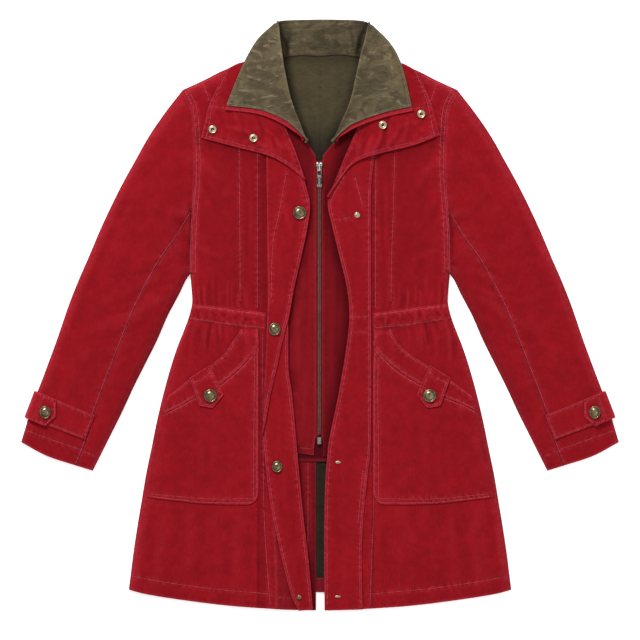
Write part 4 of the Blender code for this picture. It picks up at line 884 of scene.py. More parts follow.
def beside_body(x, y):
    """Painted shade: the dark hollow of the sleeve where it lies against the body, a dark line in
    the forearm seam, and darker cloth towards the sleeve's inner edge.
    """
    x = np.abs(x)
    off = x - 205.5 - 0.10 * np.maximum(60 - y, 0)
    hollow = 0.6 * bell(off, 6.5) * smooth(-y, -205, -150) * smooth(y, 48, 90)
    seam = 0.6 * bell(distance_to(FOREARM_SEAM, x, y), 1.3)
    under_edge = 0.34 * smooth(-distance_to(SLEEVE_INNER, x, y), -24, -3)
    return hollow + seam + under_edge * (1 - 0.6 * smooth(-y, 120, 200))


def front_height(side):
    return lambda x, y, u, v: front_top(x, y) + relief(side, x, y)


def over_front(side, lift):
    """The height of cloth that lies on a front."""
    return lambda x, y, u, v: (front_top(x, y) + ON_TOP + PATCH_WALL + lift
                               + relief(side, x, y))


def make_back(red, lining_cloth, dark_red):
    edge = shifted(ARMHOLE[:-1] + SIDE, -1.3)
    top = mirrored(SHOULDER, -1)[::-1] + BACK_NECK[1:-1] + SHOULDER
    bottom = [(-305.2, -439.5), (-150, BACK_HEM_Y + 1), (0, BACK_HEM_Y),
              (150, BACK_HEM_Y + 1), (305.2, -439.5)]
    place = patch(mirrored(edge, -1), mirrored(edge, 1), [(x * 0.994, y - 1) for x, y in top],
                  bottom)
    yoke = densely([(-200, 262), (-100, 252), (0, 249), (100, 252), (200, 262)])
    waist = densely([(-204, 6), (-100, -6), (0, -9), (100, -6), (204, 6)])
    hem_line = densely([(-300, -421), (0, -425), (300, -421)])

    def height(x, y, u, v):
        soft = 0.5 + uneven(x, y, (0.28, 40, 61), (0.2, 17, 62))
        return np.maximum(soft * smooth(np.abs(y + 3), 0, 30) * 0.8, 0.05)
    shell("back_panel", place, (520, 850), height, red, BACK_WALL, name="back", step=4.0,
          lines=[yoke, waist, hem_line], faces_up=False, pucker=0.5)

    lining = patch([(-74, 414), (-62, 200), (-52, -420)], [(74, 414), (62, 200), (52, -420)],
                   [(-74, 414), (0, 421), (74, 414)], [(-52, -420), (52, -420)])

    def lining_height(x, y, u, v):
        return (LINING_Z + creases(x, y, LINING_CREASES)
                + uneven(x, y, (0.35, 34, 71), (0.2, 13, 72)))

    # Painted shade: the lining darker towards its bottom, by the neck and along the collar's fold.
    def in_shade(x, y):
        fold = np.minimum(*(distance_to(leaf["inner"], x, y) for leaf in (LEAF_RIGHT, LEAF_LEFT)))
        near_collar = 0.45 * smooth(y, 396, 414) + 0.5 * bell(fold, 8.0)
        return 0.92 * smooth(-y, -325, -255) * (1 - 0.04 * smooth(-y, 200, 320)) + near_collar
    shell("back_lining", lining, (130, 830), lining_height, lining_cloth, LINING_WALL, ["back"],
          "lining", step=2.6, lines=[densely([(1, 405), (0, 200), (0, 0), (0, -420)])],
          pucker=0.3, shade=in_shade)
    facing = quad((-72, -420.6), (-72, -443), (72, -420.6), (72, -443))
    shell("back_hem_facing", facing, (144, 23),
          lambda x, y, u, v: LINING_Z + 0.3 + uneven(x, y, (0.15, 12, 73)),
          dark_red, LINING_WALL + 0.2, ["back"], "back_hem", "folded", step=2.2,
          lines=[densely([(-71, -424), (71, -424)])])


def make_front(side, red):
    name = SIDES[side]
    seam_share = span(ARMHOLE) / (span(ARMHOLE) + span(SIDE))
    inner = RIGHT_FRONT_EDGE if side < 0 else LEFT_FRONT_EDGE
    hem = [point for point in mirrored(HEM, side) if abs(point[0]) > abs(inner[-1][0]) + 10]
    place = patch(flipped(chain(ARM, curve(SIDE), seam_share), side), inner,
                  mirrored(SHOULDER, side)[:0:-1] + inner[:1], hem + inner[-1:])
    armhole = flipped(ARM, side)(np.linspace(0, 1, 60))
    lines = [half_path(side, points) for points in FRONT_STITCHES[side]]
    lines += [moved(armhole, -side * row) for row in ARMHOLE_ROWS]
    shell(name + "_front", place, (190, 862), front_height(side), red, FRONT_WALL, ["back"],
          lines=lines, group="front_" + name, folded=on_fold, shade=beside_flap(side))


def make_sleeve(side, red):
    name = SIDES[side]
    split = CUFF.index((390, -241))
    seam = flipped(FOREARM, side)
    outer_edge = [SLEEVE_HEAD] + SLEEVE_OUTER[1:]
    outer = patch(mirrored(outer_edge, side), seam, flipped(sub(ARM, 0, HEAD_SHARE), side, 0.15),
                  mirrored(CUFF[:split + 1], side))
    inner = patch(seam, mirrored(SLEEVE_INNER, side),
                  flipped(sub(ARM, HEAD_SHARE, 1), side, 0.15), mirrored(CUFF[split:], side))
    cuff_line = half_path(side, CUFF_HEM)
    outer_lines = [moved(seam(np.linspace(0, 1, 90)), side * ARMHOLE_ROWS[0]), cuff_line]
    outer_lines += [half_path(side, points) for points in SLEEVE_STITCHES]
    for part, place, size, lines in (("outer", outer, (128, 612), outer_lines),
                                     ("inner", inner, (60, 430), [cuff_line])):
        shell(name + "_sleeve_" + part, place, size, front_height(side), red, FRONT_WALL,
              [name + "_sleeve_under"], lines=lines, group="sleeve_" + name, folded=on_fold,
              shade=beside_body)
    under = patch(mirrored(shifted(outer_edge, -UNDER_SLIM), side),
                  mirrored(shifted(SLEEVE_INNER, UNDER_SLIM), side),
                  flipped(ARM, side, 0.3), mirrored(CUFF, side))

    def under_height(x, y, u, v):
        return np.maximum(0.4 + uneven(x, y, (0.3, 34, 81), (0.25, 15, 82)), 0.05)
    shell(name + "_sleeve_under", under, (150, 610), under_height, red, BACK_WALL, step=4.0,
          faces_up=False, pucker=0.5, lines=[cuff_line])


def make_casing(side, red):
    name = SIDES[side]
    wide, tall = 128, 28
    inner_x = 86.0 if side < 0 else 84.5
    ends = [(inner_x, 4), (inner_x, -23.5)]
    top, bottom = (mirrored([p for p in table if p[0] > inner_x + 1] + [end], side)
                   for table, end in zip((CASING_TOP, CASING_BOTTOM), ends))
    place = patch(mirrored([(205, 18.5), (207, 6), (210.5, -8)], side), mirrored(ends, side),
                  top, bottom)

    def height(x, y, u, v):
        lean = x + 3.0 * noise(x, y, 19, 97 + side)
        ridge = (0.75 * noise(lean, 0.45 * y, 6.5, 91 + side)
                 + 0.5 * noise(lean, 0.7 * y, 13, 95 + side)
                 + 0.25 * noise(lean, y, 3.6, 93 + side))
        level = front_top(x, y) + relief(side, x, y)
        rise = PATCH_WALL + ON_TOP + 0.8 + 1.35 * ridge * (0.5 + 0.6 * np.sin(math.pi * v))
        inward = np.minimum(np.minimum(v, 1 - v) * tall, (1 - u) * wide)
        return level + 0.25 + (rise - 0.25) * smooth(inward, -0.5, 5.0)
    shell(name + "_waist_casing", place, (wide, tall), height, red, on=[name + "_front"],
          name=name + "_waist", held="gathered", step=1.5, pucker=1.2, cut=wide * tall,
          lines=[across(place, 0.13), across(place, 0.87)], group="waist_" + name)


def make_pocket(side, red):
    name = SIDES[side]
    wide, tall = 165, 195
    on_pocket = {"group": "pocket_" + name, "on": [name + "_front"]}
    lower, upper, out_x = (MOUTH[name][key] for key in ("lower", "upper", "edge_x"))
    low, low_side = POCKET_BOTTOM_Y

    def turn(*angles):
        return [(out_x + POCKET_CORNER * (1 - math.cos(a)), low + POCKET_CORNER * (1 - math.sin(a)))
                for a in map(math.radians, angles)]
    inner = [lower[0], (out_x, -110), (out_x, -190), (out_x, -250)] + turn(0, 22, 45)
    bottom = turn(45, 68, 90) + [(180, low + 1), (230, (low + low_side) / 2), (278, low_side)]
    outer = [lower[-1], (258, -180), (266, -212), (273, -251), (278, low_side)]
    place = patch(*(mirrored(edge, side) for edge in (inner, outer, lower, bottom)))
    lines = [down(place, row / wide, 0.03, 0.97, 50) for row in (3.0, 9.0)]
    lines += [across(place, v, 0.03, 0.97, 50)
              for v in (1 - 3.0 / tall, 1 - 9.0 / tall, 2.5 / tall)]

    def pocket_height(x, y, u, v):
        slack = 1.1 * np.sin(math.pi * u) * np.sin(math.pi * v) ** 0.6
        return (over_front(side, 0.1)(x, y, u, v) + slack
                + 0.7 * creases(np.abs(x), y, POCKET_CREASES))
    shell(name + "_pocket", place, (168, 200), pocket_height, red, lines=lines, **on_pocket)

    start = lower[0][0] + 0.3
    band_low = [(start, -14.0), (start, -32.0)] + [(x + 0.3, y + 0.6) for x, y in lower]
    band_high = [(upper[0][0] + 0.5, -12.0)] + upper
    band = patch(*(mirrored(edge, side) for edge in (
        [band_high[0], band_low[0]], [band_high[-1], band_low[-1]], band_high, band_low)))

    def band_height(x, y, u, v):
        sunk = 1 - smooth(-y, 19, 31)
        return over_front(side, 0.45)(x, y, u, v) - (ON_TOP + PATCH_WALL + 0.7) * sunk
    shell(name + "_pocket_band", band, (195, 32), band_height, red, step=2.0,
          lines=[across(band, 0.12), across(band, 0.88)], **on_pocket)

    tab_outer, tab_inner, shoulder_in, point, shoulder_out = mirrored(POCKET_TAB, side)
    tab = patch([tab_outer, shoulder_out], [tab_inner, shoulder_in], [tab_outer, tab_inner],
                line([shoulder_out, point, shoulder_in]))
    lines = [down(tab, u, 0.05, 0.9, 20, 3.0) for u in (0.11, 0.89)]
    lines += [across(tab, 0.91, 0.1, 0.9, 21, None), across(tab, 0.2, 0.1, 0.9, 20, 3.0)]
    shell(name + "_pocket_tab", tab, (40, 62), over_front(side, PATCH_WALL + 1.7), red,
          on=[name + "_pocket_band"], lines=lines, group="pocket_" + name, step=1.6)


def make_cuff(side, red):
    """The strap, the keeper that holds it at the edge, and its pointed tab."""
    name = SIDES[side]
    outer_top, outer_low, inner_top, inner_low = mirrored(
        [STRAP[key] for key in ("outer_top", "outer_bottom", "inner_top", "inner_bottom")], side)
    strap = quad(outer_top, outer_low, inner_top, inner_low)
    out_x, out_y = STRAP["outer_top"]

    def inside(x, y, past):
        """How far in from the strap's outer edge a place lies."""
        return out_x + past - np.abs(x) + STRAP_LEAN * (y - out_y)

    def on_cuff(lift, past=0.0):
        def height(x, y, u, v):
            level = front_top(np.minimum(np.abs(x), STRAP_LEVEL_X), y) + 0.25 * noise(x, y, 18, 101)
            return EDGE_Z + (level + ON_TOP + lift - EDGE_Z) * roll(
                np.maximum(inside(x, y, past), 0), STRAP_ROLL)
        return height

    def fold(past):
        return lambda x, y, reach=1.0: np.abs(inside(x, y, past)) < reach
    lines = [across(strap, v, 0.02, 0.98) for v in (0.08, 0.92)]
    lines.append(down(strap, 0.965, 0.1, 0.9, 20, 3.0))
    shell(name + "_cuff_strap", strap, (103, 45), on_cuff(PATCH_WALL + 0.4), red, lines=lines,
          group="sleeve_" + name, step=1.9, folded=fold(0.0), on=[name + "_sleeve_outer"])

    base_top, shoulder_top, point, shoulder_low, base_low = mirrored(CUFF_TAB, side)
    above = 2 * PATCH_WALL + 1.6
    keeper = quad(*shifted([outer_top, outer_low], side * KEEPER_PAST),
                  *shifted([base_top, base_low], side * 0.2))
    shell(name + "_cuff_keeper", keeper, (15, 45), on_cuff(above, KEEPER_PAST), red, step=1.5,
          folded=fold(KEEPER_PAST), on=[name + "_cuff_strap"])
    tab = quad(base_top, base_low, shoulder_top, shoulder_low)
    tip = np.array(point) - (np.array(shoulder_top) + np.array(shoulder_low)) / 2

    def pointed(u, v):
        push = (np.clip((u - 0.5) / 0.5, 0, 1) * (1 - np.abs(2 * v - 1)))[..., None]
        return tab(u, v) + push * tip
    lines = [across(pointed, v, 0.03, 0.93, 20, 3.0) for v in (0.08, 0.92)]
    lines.append(down(pointed, 0.92, 0.08, 0.92, 21, None))
    shell(name + "_cuff_tab", pointed, (32, 44), on_cuff(above), red, lines=lines,
          group="sleeve_" + name, step=1.5, on=[name + "_cuff_strap"])


# ---- the closure and the collars ----------------------------------------------------------
def make_closure(red, shaded_inner_red, dark_red):
    guard = quad((-35, -110), (-34, -234), (11, -110), (10, -234))
    # Painted shade: the guard is darkened to near black, less so on its hem.
    shell("zip_guard", guard, (46, 124), lambda x, y, u, v: GUARD_Z + 0.2 * noise(x, y, 14, 111),
          dark_red, 1.2, ["lining"], step=2.4,
          shade=lambda x, y: 1.0 - 0.7 * smooth(-y, 227, 231))
    free_right, free_left = edge_x(FLAP_FREE + STRIP_FREE[2:]), edge_x(PLACKET_FREE)
    # Painted shadow beside the free edges of the storm flap and the placket, and painted shade over
    # the left panel.
    behind_flap = {-1: lambda x, y: 0.55 * smooth(-(x - free_right(y)), -17, 0) + 0.05,
                   1: lambda x, y: 0.62 * smooth(x - free_left(y), -24, 0) + 0.33}
    for side, outer, inner, top, hem in (
            (-1, VEST_RIGHT_SIDE, VEST_RIGHT_ZIP, VEST_RIGHT_TOP, [(-42, -220), (-9.4, -224.5)]),
            (1, VEST_LEFT_SIDE, VEST_LEFT_ZIP, VEST_LEFT_TOP, [(82, -224), (5, -226)])):
        def height(x, y, u, v):
            return (VEST_Z + uneven(x, y, (0.35, 30, 121 + side), (0.22, 12, 123 + side))
                    + creases(x, y, VEST_CREASES))
        name = SIDES[side] + "_inner"
        shell(name + "_panel", patch(outer, inner, top, hem), (70, 540), height, shaded_inner_red,
              VEST_WALL, ["lining", "zip_guard"], name, step=2.5, group="centre",
              lines=[beside(inner, side * -7.5),
                     densely([(side * 30 - 3, -212.0), (side * 8, -214.5)])],
              shade=behind_flap[side])

    strip_x, placket_x = edge_x(STRIP_FREE), edge_x(PLACKET_FREE)

    def underlap(x, y, u, v):
        return (UNDERLAP_Z + (CENTRE_Z - 0.4 - UNDERLAP_Z) * smooth(-u, -0.62, -0.12)
                + 0.2 * noise(x, y, 24, 131) + creases(x, y, UNDERLAP_CREASES))
    place = patch(shifted(UNDERLAP_SEAM, -0.9), [(-6.4, -190), (-6.4, -472.6)],
                  [(-80.3, -190), (-6.4, -190)], [(-69.3, -470.6), (-40, -472), (-6.4, -472.6)])
    # Painted shade: a band beside the strip's free edge, darker towards the under-placket's own
    # free edge.
    shell("right_underlap", place, (68, 282), underlap, shaded_inner_red, FRONT_WALL - 0.2, ["lining"],
          lines=[densely([(-19.2, -232), (-19.4, -470)]), densely([(-66, -452), (-8, -454)])],
          group="centre", step=2.4,
          shade=lambda x, y: 0.05 + 0.5 * bell(x - strip_x(y), 8.0) + 0.5 * smooth(x, -21, -8))

    def strip_height(x, y, u, v):
        return (flap_top(x, y, strip_x(y)) + 0.7 + 0.35 * noise(x, y, 28, 141)
                + creases(x, y, STRIP_CREASES))
    strip = patch(STRIP_SEAM, STRIP_FREE, [(-84, 10), (-54, 10)], [(-34, -473), (-11, -471)])
    shell("storm_flap_lower", strip, (50, 486), strip_height, red, BAND_WALL, ["right_front"],
          lines=[beside(STRIP_FREE, -4.6), beside(STRIP_SEAM, 4.2)], group="centre", step=2.0)

    def flap_height(x, y, u, v):
        over_strip = (BAND_WALL + 1.3) * smooth(-y, -54, -16)
        puff = 0.9 * arch(u) * smooth(y, 0, 60)
        lift = 1.6 * smooth(u, 0.7, 1.0) * smooth(y, 60, 150)
        return (FLAP_Z + over_strip + puff + lift + uneven(x, y, (0.4, 32, 151), (0.15, 13, 152))
                + creases(x, y, FLAP_CREASES))
    flap = patch(FLAP_SEAM, FLAP_SHOWN, [(-86, 262), (-44, 258)],
                 [(-92.2, -191.6), (-91.8, -192.4)])
    shell("storm_flap_upper", flap, (60, 460), flap_height, red, BAND_WALL,
          ["right_front", "storm_flap_lower"], step=2.0, hem=1.2,
          lines=[beside(FLAP_SHOWN, -4.8), densely(FLAP_STITCH)], group="centre")

    def placket_height(x, y, u, v):
        puff = 1.2 * arch(u) * smooth(y, 40, 120)
        lift = 1.4 * smooth(-u, -0.3, 0.0) * smooth(y, -150, 20)
        return (flap_top(x, y, placket_x(y)) + 0.1 + puff + lift
                + uneven(x, y, (0.4, 32, 161), (0.15, 13, 162)) + creases(x, y, PLACKET_CREASES))
    placket = patch(PLACKET_SHOWN, PLACKET_SEAM, [(50, 262), (88, 262)],
                    [(7, -472.8), (68.5, -470.8)])
    shell("left_placket", placket, (60, 745), placket_height, red, BAND_WALL, ["left_front"],
          lines=[beside(PLACKET_SHOWN, 4.8, 120), beside(PLACKET_SEAM, -4.0, 120)]
          + [densely(path) for path in PLACKET_STITCHES], group="centre", step=2.0)


def make_lapel(side, lapel, red):
    """The outer collar, which lies open on the front."""
    name = SIDES[side]
    place = patch(*(lapel[key] for key in ("outer", "inner", "top", "bottom")))

    def height(x, y, u, v):
        lift = 1.2 * smooth(v, 0.75, 1.0) * arch(u * 0.85 + 0.1)
        over_flap = LAPEL_RISE * smooth(-np.abs(x), -104, -84) * smooth(-y, -296, -266)
        inward = (CENTRE_Z - BODY_Z) * smooth(-np.abs(x), -165, -92)
        soft = uneven(x, y, (0.5, 24, 171 + side), (0.4, 9, 174 + side))
        wavy = 0.8 * noise(x, 0 * y, 13, 177 + side) * smooth(v, 0.75, 1.0)
        return (LAPEL_Z + inward + lift + over_flap + soft + wavy
                + 1.5 * creases(np.abs(x), y, LAPEL_CREASES[side]))
    shell(name + "_outer_collar", place, (150, 130), height, red, LAPEL_WALL, [name + "_front"],
          name + "_lapel", step=1.9, pucker=1.4,
          lines=[across(place, 0.955, count=60), down(place, 0.045, count=60),
                 down(place, 0.955, count=60), half_path(side, LAPEL_SEAM)],
          group="lapels", stitched=(0, 1, 3))


def make_leaf(side, leaf, red, olive):
    """The inner collar, folded over at the neck, and the red cloth under its edge."""
    name = SIDES[side]
    section = np.array(LEAF_SECTION)    # across the leaf: place and share of the crest
    place = patch(*(leaf[key] for key in ("outer", "inner", "top", "bottom")))

    def crest(v, share):
        tip = 6.5 * smooth(v, 0.8, 1.0) * smooth(share, 0.7, 1.0)
        return LEAF_CREST_Z - 5.0 * smooth(v, 0.62, 1.0) - 9.5 * smooth(-v, -0.25, 0.0) - tip

    def leaf_height(x, y, u, v):
        share = eased(section[:, 1], u)
        base = LEAF_Z + 1.2 * smooth(-v, -0.5, 0.0)
        foot = LINING_Z + LEAF_WALL + 1.6 + (VEST_Z - LINING_Z) * smooth(-y, -330, -302)
        drop = (base - foot) * (1 - 0.6 * smooth(y, 395, 425)) * (
            1 - 0.95 * smooth(-v, -0.16, 0.0))
        soft = (uneven(x, y, (0.55, 22, 181 + side), (0.3, 10, 184 + side))
                + creases(np.abs(x), y, LEAF_CREASES[side])) * smooth(-u, -0.75, -0.5)
        rise = (crest(v, eased(section[:, 0], u)) - base) * share
        return np.where(share >= 0, base + rise, base + drop * share) + soft

    def leaf_plan(u, v):
        return place(eased(section[:, 0], u), v)
    shell(name + "_inner_collar", leaf_plan, (150, 230), leaf_height, olive, LEAF_WALL,
          [name + "_lapel"], name + "_collar", step=1.9, cut=18500, group="collar",
          lines=[down(leaf_plan, 0.022, count=60), across(leaf_plan, 0.972, 0.02, 0.66, 60)])

    under = np.vstack([section[:5], (0.955, 0.955)])
    places = np.linspace(0, 1, len(under))

    def shown(u, v):
        """The part of the leaf that its under side covers."""
        over = np.interp(u, places, under[:, 0])
        start = 0.2 + 0.72 * smooth(over, 0.72, 0.9)
        return over, start + (1 - start) * v

    def under_plan(u, v):
        over, v = shown(u, v)
        out = (LEAF_UNDER_SHOWS * (1 - 0.55 * smooth(over, 0.7, 0.955)))[..., None]
        return place(over, v) + smooth(v, 0.8, 1.0)[..., None] * (
            out * np.array([side * 0.3, -1.0]))

    def under_height(x, y, u, v):
        over, v = shown(u, v)
        share = np.interp(u, places, under[:, 1])
        base = LEAF_Z + 1.2 * smooth(-v, -0.5, 0.0)
        return base + (crest(v, over) - base) * share - LEAF_WALL - 0.5 - 1.3 * share
    # The red edge under the leaf is painted paler all over: a painted highlight.
    shell(name + "_collar_edge", under_plan, (130, 165), under_height, red, LEAF_WALL,
          [name + "_lapel"], name + "_collar_under", step=2.0, painted_highlight=0.5, pucker=0.5)


def make_stand(red, olive):
    """The standing collar at the back of the neck, and its red outer side."""
    section = np.array(STAND_SECTION)
    stand = patch([(-60.2, 413.5), (-64.0, 440), (-67.2, 469.5)],
                  [(65.0, 413.5), (72.0, 440), (78.0, 467.5)],
                  [(-60.2, 413.5)] + STAND_NECK[1:-1] + [(65.0, 413.5)],
                  [(-67.2, 469.5), (-58, 471.2)] + STAND_TOP[1:-1] + [(68, 470.5), (78.0, 467.5)])

    def height(x, y, u, v):
        ends = 2.0 * (2 * np.abs(u - 0.5)) ** 3 * smooth(v, 0.2, 1.0)
        soft = uneven(x, y, (0.5, 16, 191), (0.3, 8, 192)) + creases(x, y, STAND_CREASES)
        return np.interp(v, section[:, 0], section[:, 1]) + ends + soft * smooth(v, 0.0, 0.15)

    # Painted shade: a little all over, more at the ends and by the neck, and dark lines in the end
    # creases.
    def shade(x, y):
        hollow = np.min([distance_to(table, x, y) for table in STAND_SHADE_LINES], axis=0)
        return (0.10 + 0.45 * smooth(np.abs(x - 4), 46, 61) + 0.25 * smooth(-y, -426, -416)
                + 0.9 * bell(hollow, 2.4))
    shell("collar_stand", stand, (122, 62), height, olive, LEAF_WALL, ["lining"], step=1.9,
          shade=shade, lines=[across(stand, 0.93, 0.02, 0.98)])
    outer = patch([(-53, 421), (-59, 468)], [(58, 421), (70, 468)],
                  [(-53, 421), (0, 420), (58, 421)], [(-59, 468), (5, 470.5), (70, 468)])

    def outer_height(x, y, u, v):
        level = np.interp(v, section[:, 0], section[:, 1]) - LEAF_WALL - 2.0
        return np.maximum(level, 1.9) - 1.3
    shell("collar_back", outer, (120, 60), outer_height, red, 1.3, step=2.6, faces_up=False)


# ---- hardware ---------------------------------------------------------------------------
def joined(base, rows, around, closed=False, outward=False):
    """Quads between rings of points that follow each other."""
    faces = []
    for r in range(rows if closed else rows - 1):
        a, b = base + r * around, base + (r + 1) % rows * around
        for k in range(around):
            n = (k + 1) % around
            faces.append((a + k, a + n, b + n, b + k) if outward
                         else (a + k, b + k, b + n, a + n))
    return faces


def turned(name, profile, at, steps, colour, node, shown=(1.0, 1.0)):
    """A turned snap part from (radius, height) rows; shown narrows one that sits tilted."""
    angle = np.linspace(0, 2 * math.pi, steps, endpoint=False)
    ring = np.stack([shown[0] * np.cos(angle), shown[1] * np.sin(angle)], axis=-1)
    points = [np.column_stack([np.array(at[:2]) + r * ring, np.full(steps, at[2] + z)])
              for r, z in profile]
    mesh_object(name, np.concatenate(points), joined(0, len(points), steps), colour, "coat",
                node)


def rounded_profile(rows, cuts=4):
    """The same profile with its corners eased by short cuts."""
    rows = np.asarray(rows, float)
    out = [rows[0]]
    for a, b, c in zip(rows[:-2], rows[1:-1], rows[2:]):
        da, dc = np.hypot(*(a - b)), np.hypot(*(c - b))
        reach = min(0.45, 0.4 * da, 0.4 * dc)
        p, q = b + (a - b) / max(da, 1e-9) * reach, b + (c - b) / max(dc, 1e-9) * reach
        for t in np.linspace(0, 1, cuts):
            out.append((1 - t) ** 2 * p + 2 * t * (1 - t) * b + t * t * q)
    return out + [rows[-1]]


CAP = rounded_profile([
    (0.01, 4.4), (2.2, 4.35), (4.4, 4.0), (6.2, 3.3), (7.3, 2.5), (7.9, 1.9), (8.5, 1.9),
    (9.1, 2.6), (9.9, 2.7), (10.7, 1.9), (10.8, 0.9), (10.5, 0.0)])
SOCKET = rounded_profile([(1.7, 0.3), (2.0, 1.2), (2.6, 2.1), (3.6, 2.3), (4.4, 1.7), (5.0, 1.6),
                          (5.7, 2.0), (6.4, 1.6), (6.8, 0.7), (6.8, 0.0)])
SOCKET_HOLE = [(0.01, 0.35), (1.75, 0.32)]
SOCKET_POST = [(0.01, 1.75), (0.45, 1.65), (0.75, 1.3), (0.85, 0.3)]
STUD = rounded_profile([(0.01, 2.4), (0.9, 2.35), (1.5, 2.0), (1.6, 1.3), (2.2, 1.0),
                        (3.8, 1.15), (4.5, 0.8), (4.6, 0.0)])
SNAP_STEPS = 40
SNAP_SHOWN = {  # width and height of the ones that are seen at a slant
    "flap_cap_2": (0.88, 0.98), "flap_cap_3": (0.80, 0.88), "right_cuff_cap": (0.84, 0.98),
    "left_cuff_cap": (0.84, 0.98), "placket_stud_2": (0.95, 0.5), "placket_stud_3": (1.0, 0.42),
    "flap_hem_rivet": (0.85, 0.8)}


def box(node):
    """The lowest and highest corner of a solid, in millimetres."""
    return (Vector(corner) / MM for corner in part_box(node))


def make_snaps(brass, pale_brass, hole):
    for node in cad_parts:
        if not any(word in node for word in ("_cap", "rivet", "socket", "stud")):
            continue
        low, high = box(node)
        at = ((low.x + high.x) / 2, (low.y + high.y) / 2, low.z)
        profile = SOCKET if "socket" in node else CAP if "cap" in node else STUD
        pale = profile is not CAP and "rivet" not in node
        turned(node + "_turned", profile, at, SNAP_STEPS, pale_brass if pale else brass, node,
               SNAP_SHOWN.get(node, (1.0, 1.0)))
        if "socket" in node:
            # A dark disc of painted shade in the socket's hole.
            turned(node + "_recess", SOCKET_HOLE, at, SNAP_STEPS // 2, hole, node)
            turned(node + "_post", SOCKET_POST, at, 16, pale_brass, node)


class Metal:
    """Points and faces of a metal piece, in millimetres, built up from small forms."""

    def __init__(self):
        self.points, self.faces = [], []

    def rings(self, rows, around, **how):
        base = len(self.points)
        self.points += [point for row in rows for point in row]
        self.faces += joined(base, len(rows), around, **how)
        return base

    def block(self, centre, size, cut=0.35):
        """A small block with cut corners and a cut top edge."""
        cx, cy, cz = centre
        hx, hy, hz = (side / 2 for side in size)
        k = min(cut * 1.6, hx * 0.6, hy * 0.6)
        outline = [(-hx + k, -hy), (hx - k, -hy), (hx, -hy + k), (hx, hy - k), (hx - k, hy),
                   (-hx + k, hy), (-hx, hy - k), (-hx, -hy + k)]
        top_cut = min(cut, hx * 0.5, hy * 0.5)
        rows = [[(cx + x * fx, cy + y * fy, cz + z) for x, y in outline]
                for z, fx, fy in ((-hz, 1, 1), (hz - min(cut, hz), 1, 1),
                                  (hz, (hx - top_cut) / hx, (hy - top_cut) / hy))]
        top = self.rings(rows, 8, outward=True) + 16
        self.faces += [(top, top + 1, top + 2, top + 3), (top, top + 3, top + 4, top + 7),
                       (top + 4, top + 5, top + 6, top + 7)]

    def sweep(self, path, normal, wide, high, closed=False, around=10):
        """A bar of oval section along a path that lies in the plane with this normal."""
        path, normal = np.asarray(path, float), np.asarray(normal, float)
        ahead = np.roll(path, -1, 0) - np.roll(path, 1, 0) if closed else np.gradient(path, axis=0)
        ahead /= np.linalg.norm(ahead, axis=1)[:, None]
        turn = [2 * math.pi * k / around for k in range(around)]
        self.rings([[p + np.cross(t, normal) * wide / 2 * math.cos(a)
                     + normal * high / 2 * math.sin(a) for a in turn]
                    for p, t in zip(path, ahead)], around, closed=closed)

    def dome(self, centre, radius, height, around=14):
        cx, cy, cz = centre
        turn = [2 * math.pi * k / around for k in range(around)]
        self.rings([[(cx + radius * math.cos(up) * math.cos(a),
                      cy + radius * math.cos(up) * math.sin(a), cz + height * math.sin(up))
                     for a in turn] for up in np.radians([0, 25, 50, 70, 88])],
                   around, outward=True)

    def finish(self, name, colour, node=None, body="coat"):
        mesh_object(name, self.points, self.faces, colour, body, node, rounded=False)

    def hang(self):
        """From offset, distance below the hinge and height over the tab to the coat's frame."""
        lean = math.radians(PULL_REST)
        self.points = [(CHAIN_X + x, PIVOT_Y - s * math.cos(lean) - h * math.sin(lean),
                        PIVOT_Z - s * math.sin(lean) + h * math.cos(lean))
                       for x, s, h in self.points]
        self.faces = [face[::-1] for face in self.faces]


PULL_BLOCKS = [  # distance below the hinge, height, and size: neck, plate, rib, end
    (10.4, 0, (6.6, 3.6, 1.3)), (18.6, -0.1, (8.3, 14.0, 1.1)), (17.6, 0.55, (3.2, 11.0, 0.7)),
    (26.3, 0.15, (8.0, 2.6, 1.6))]


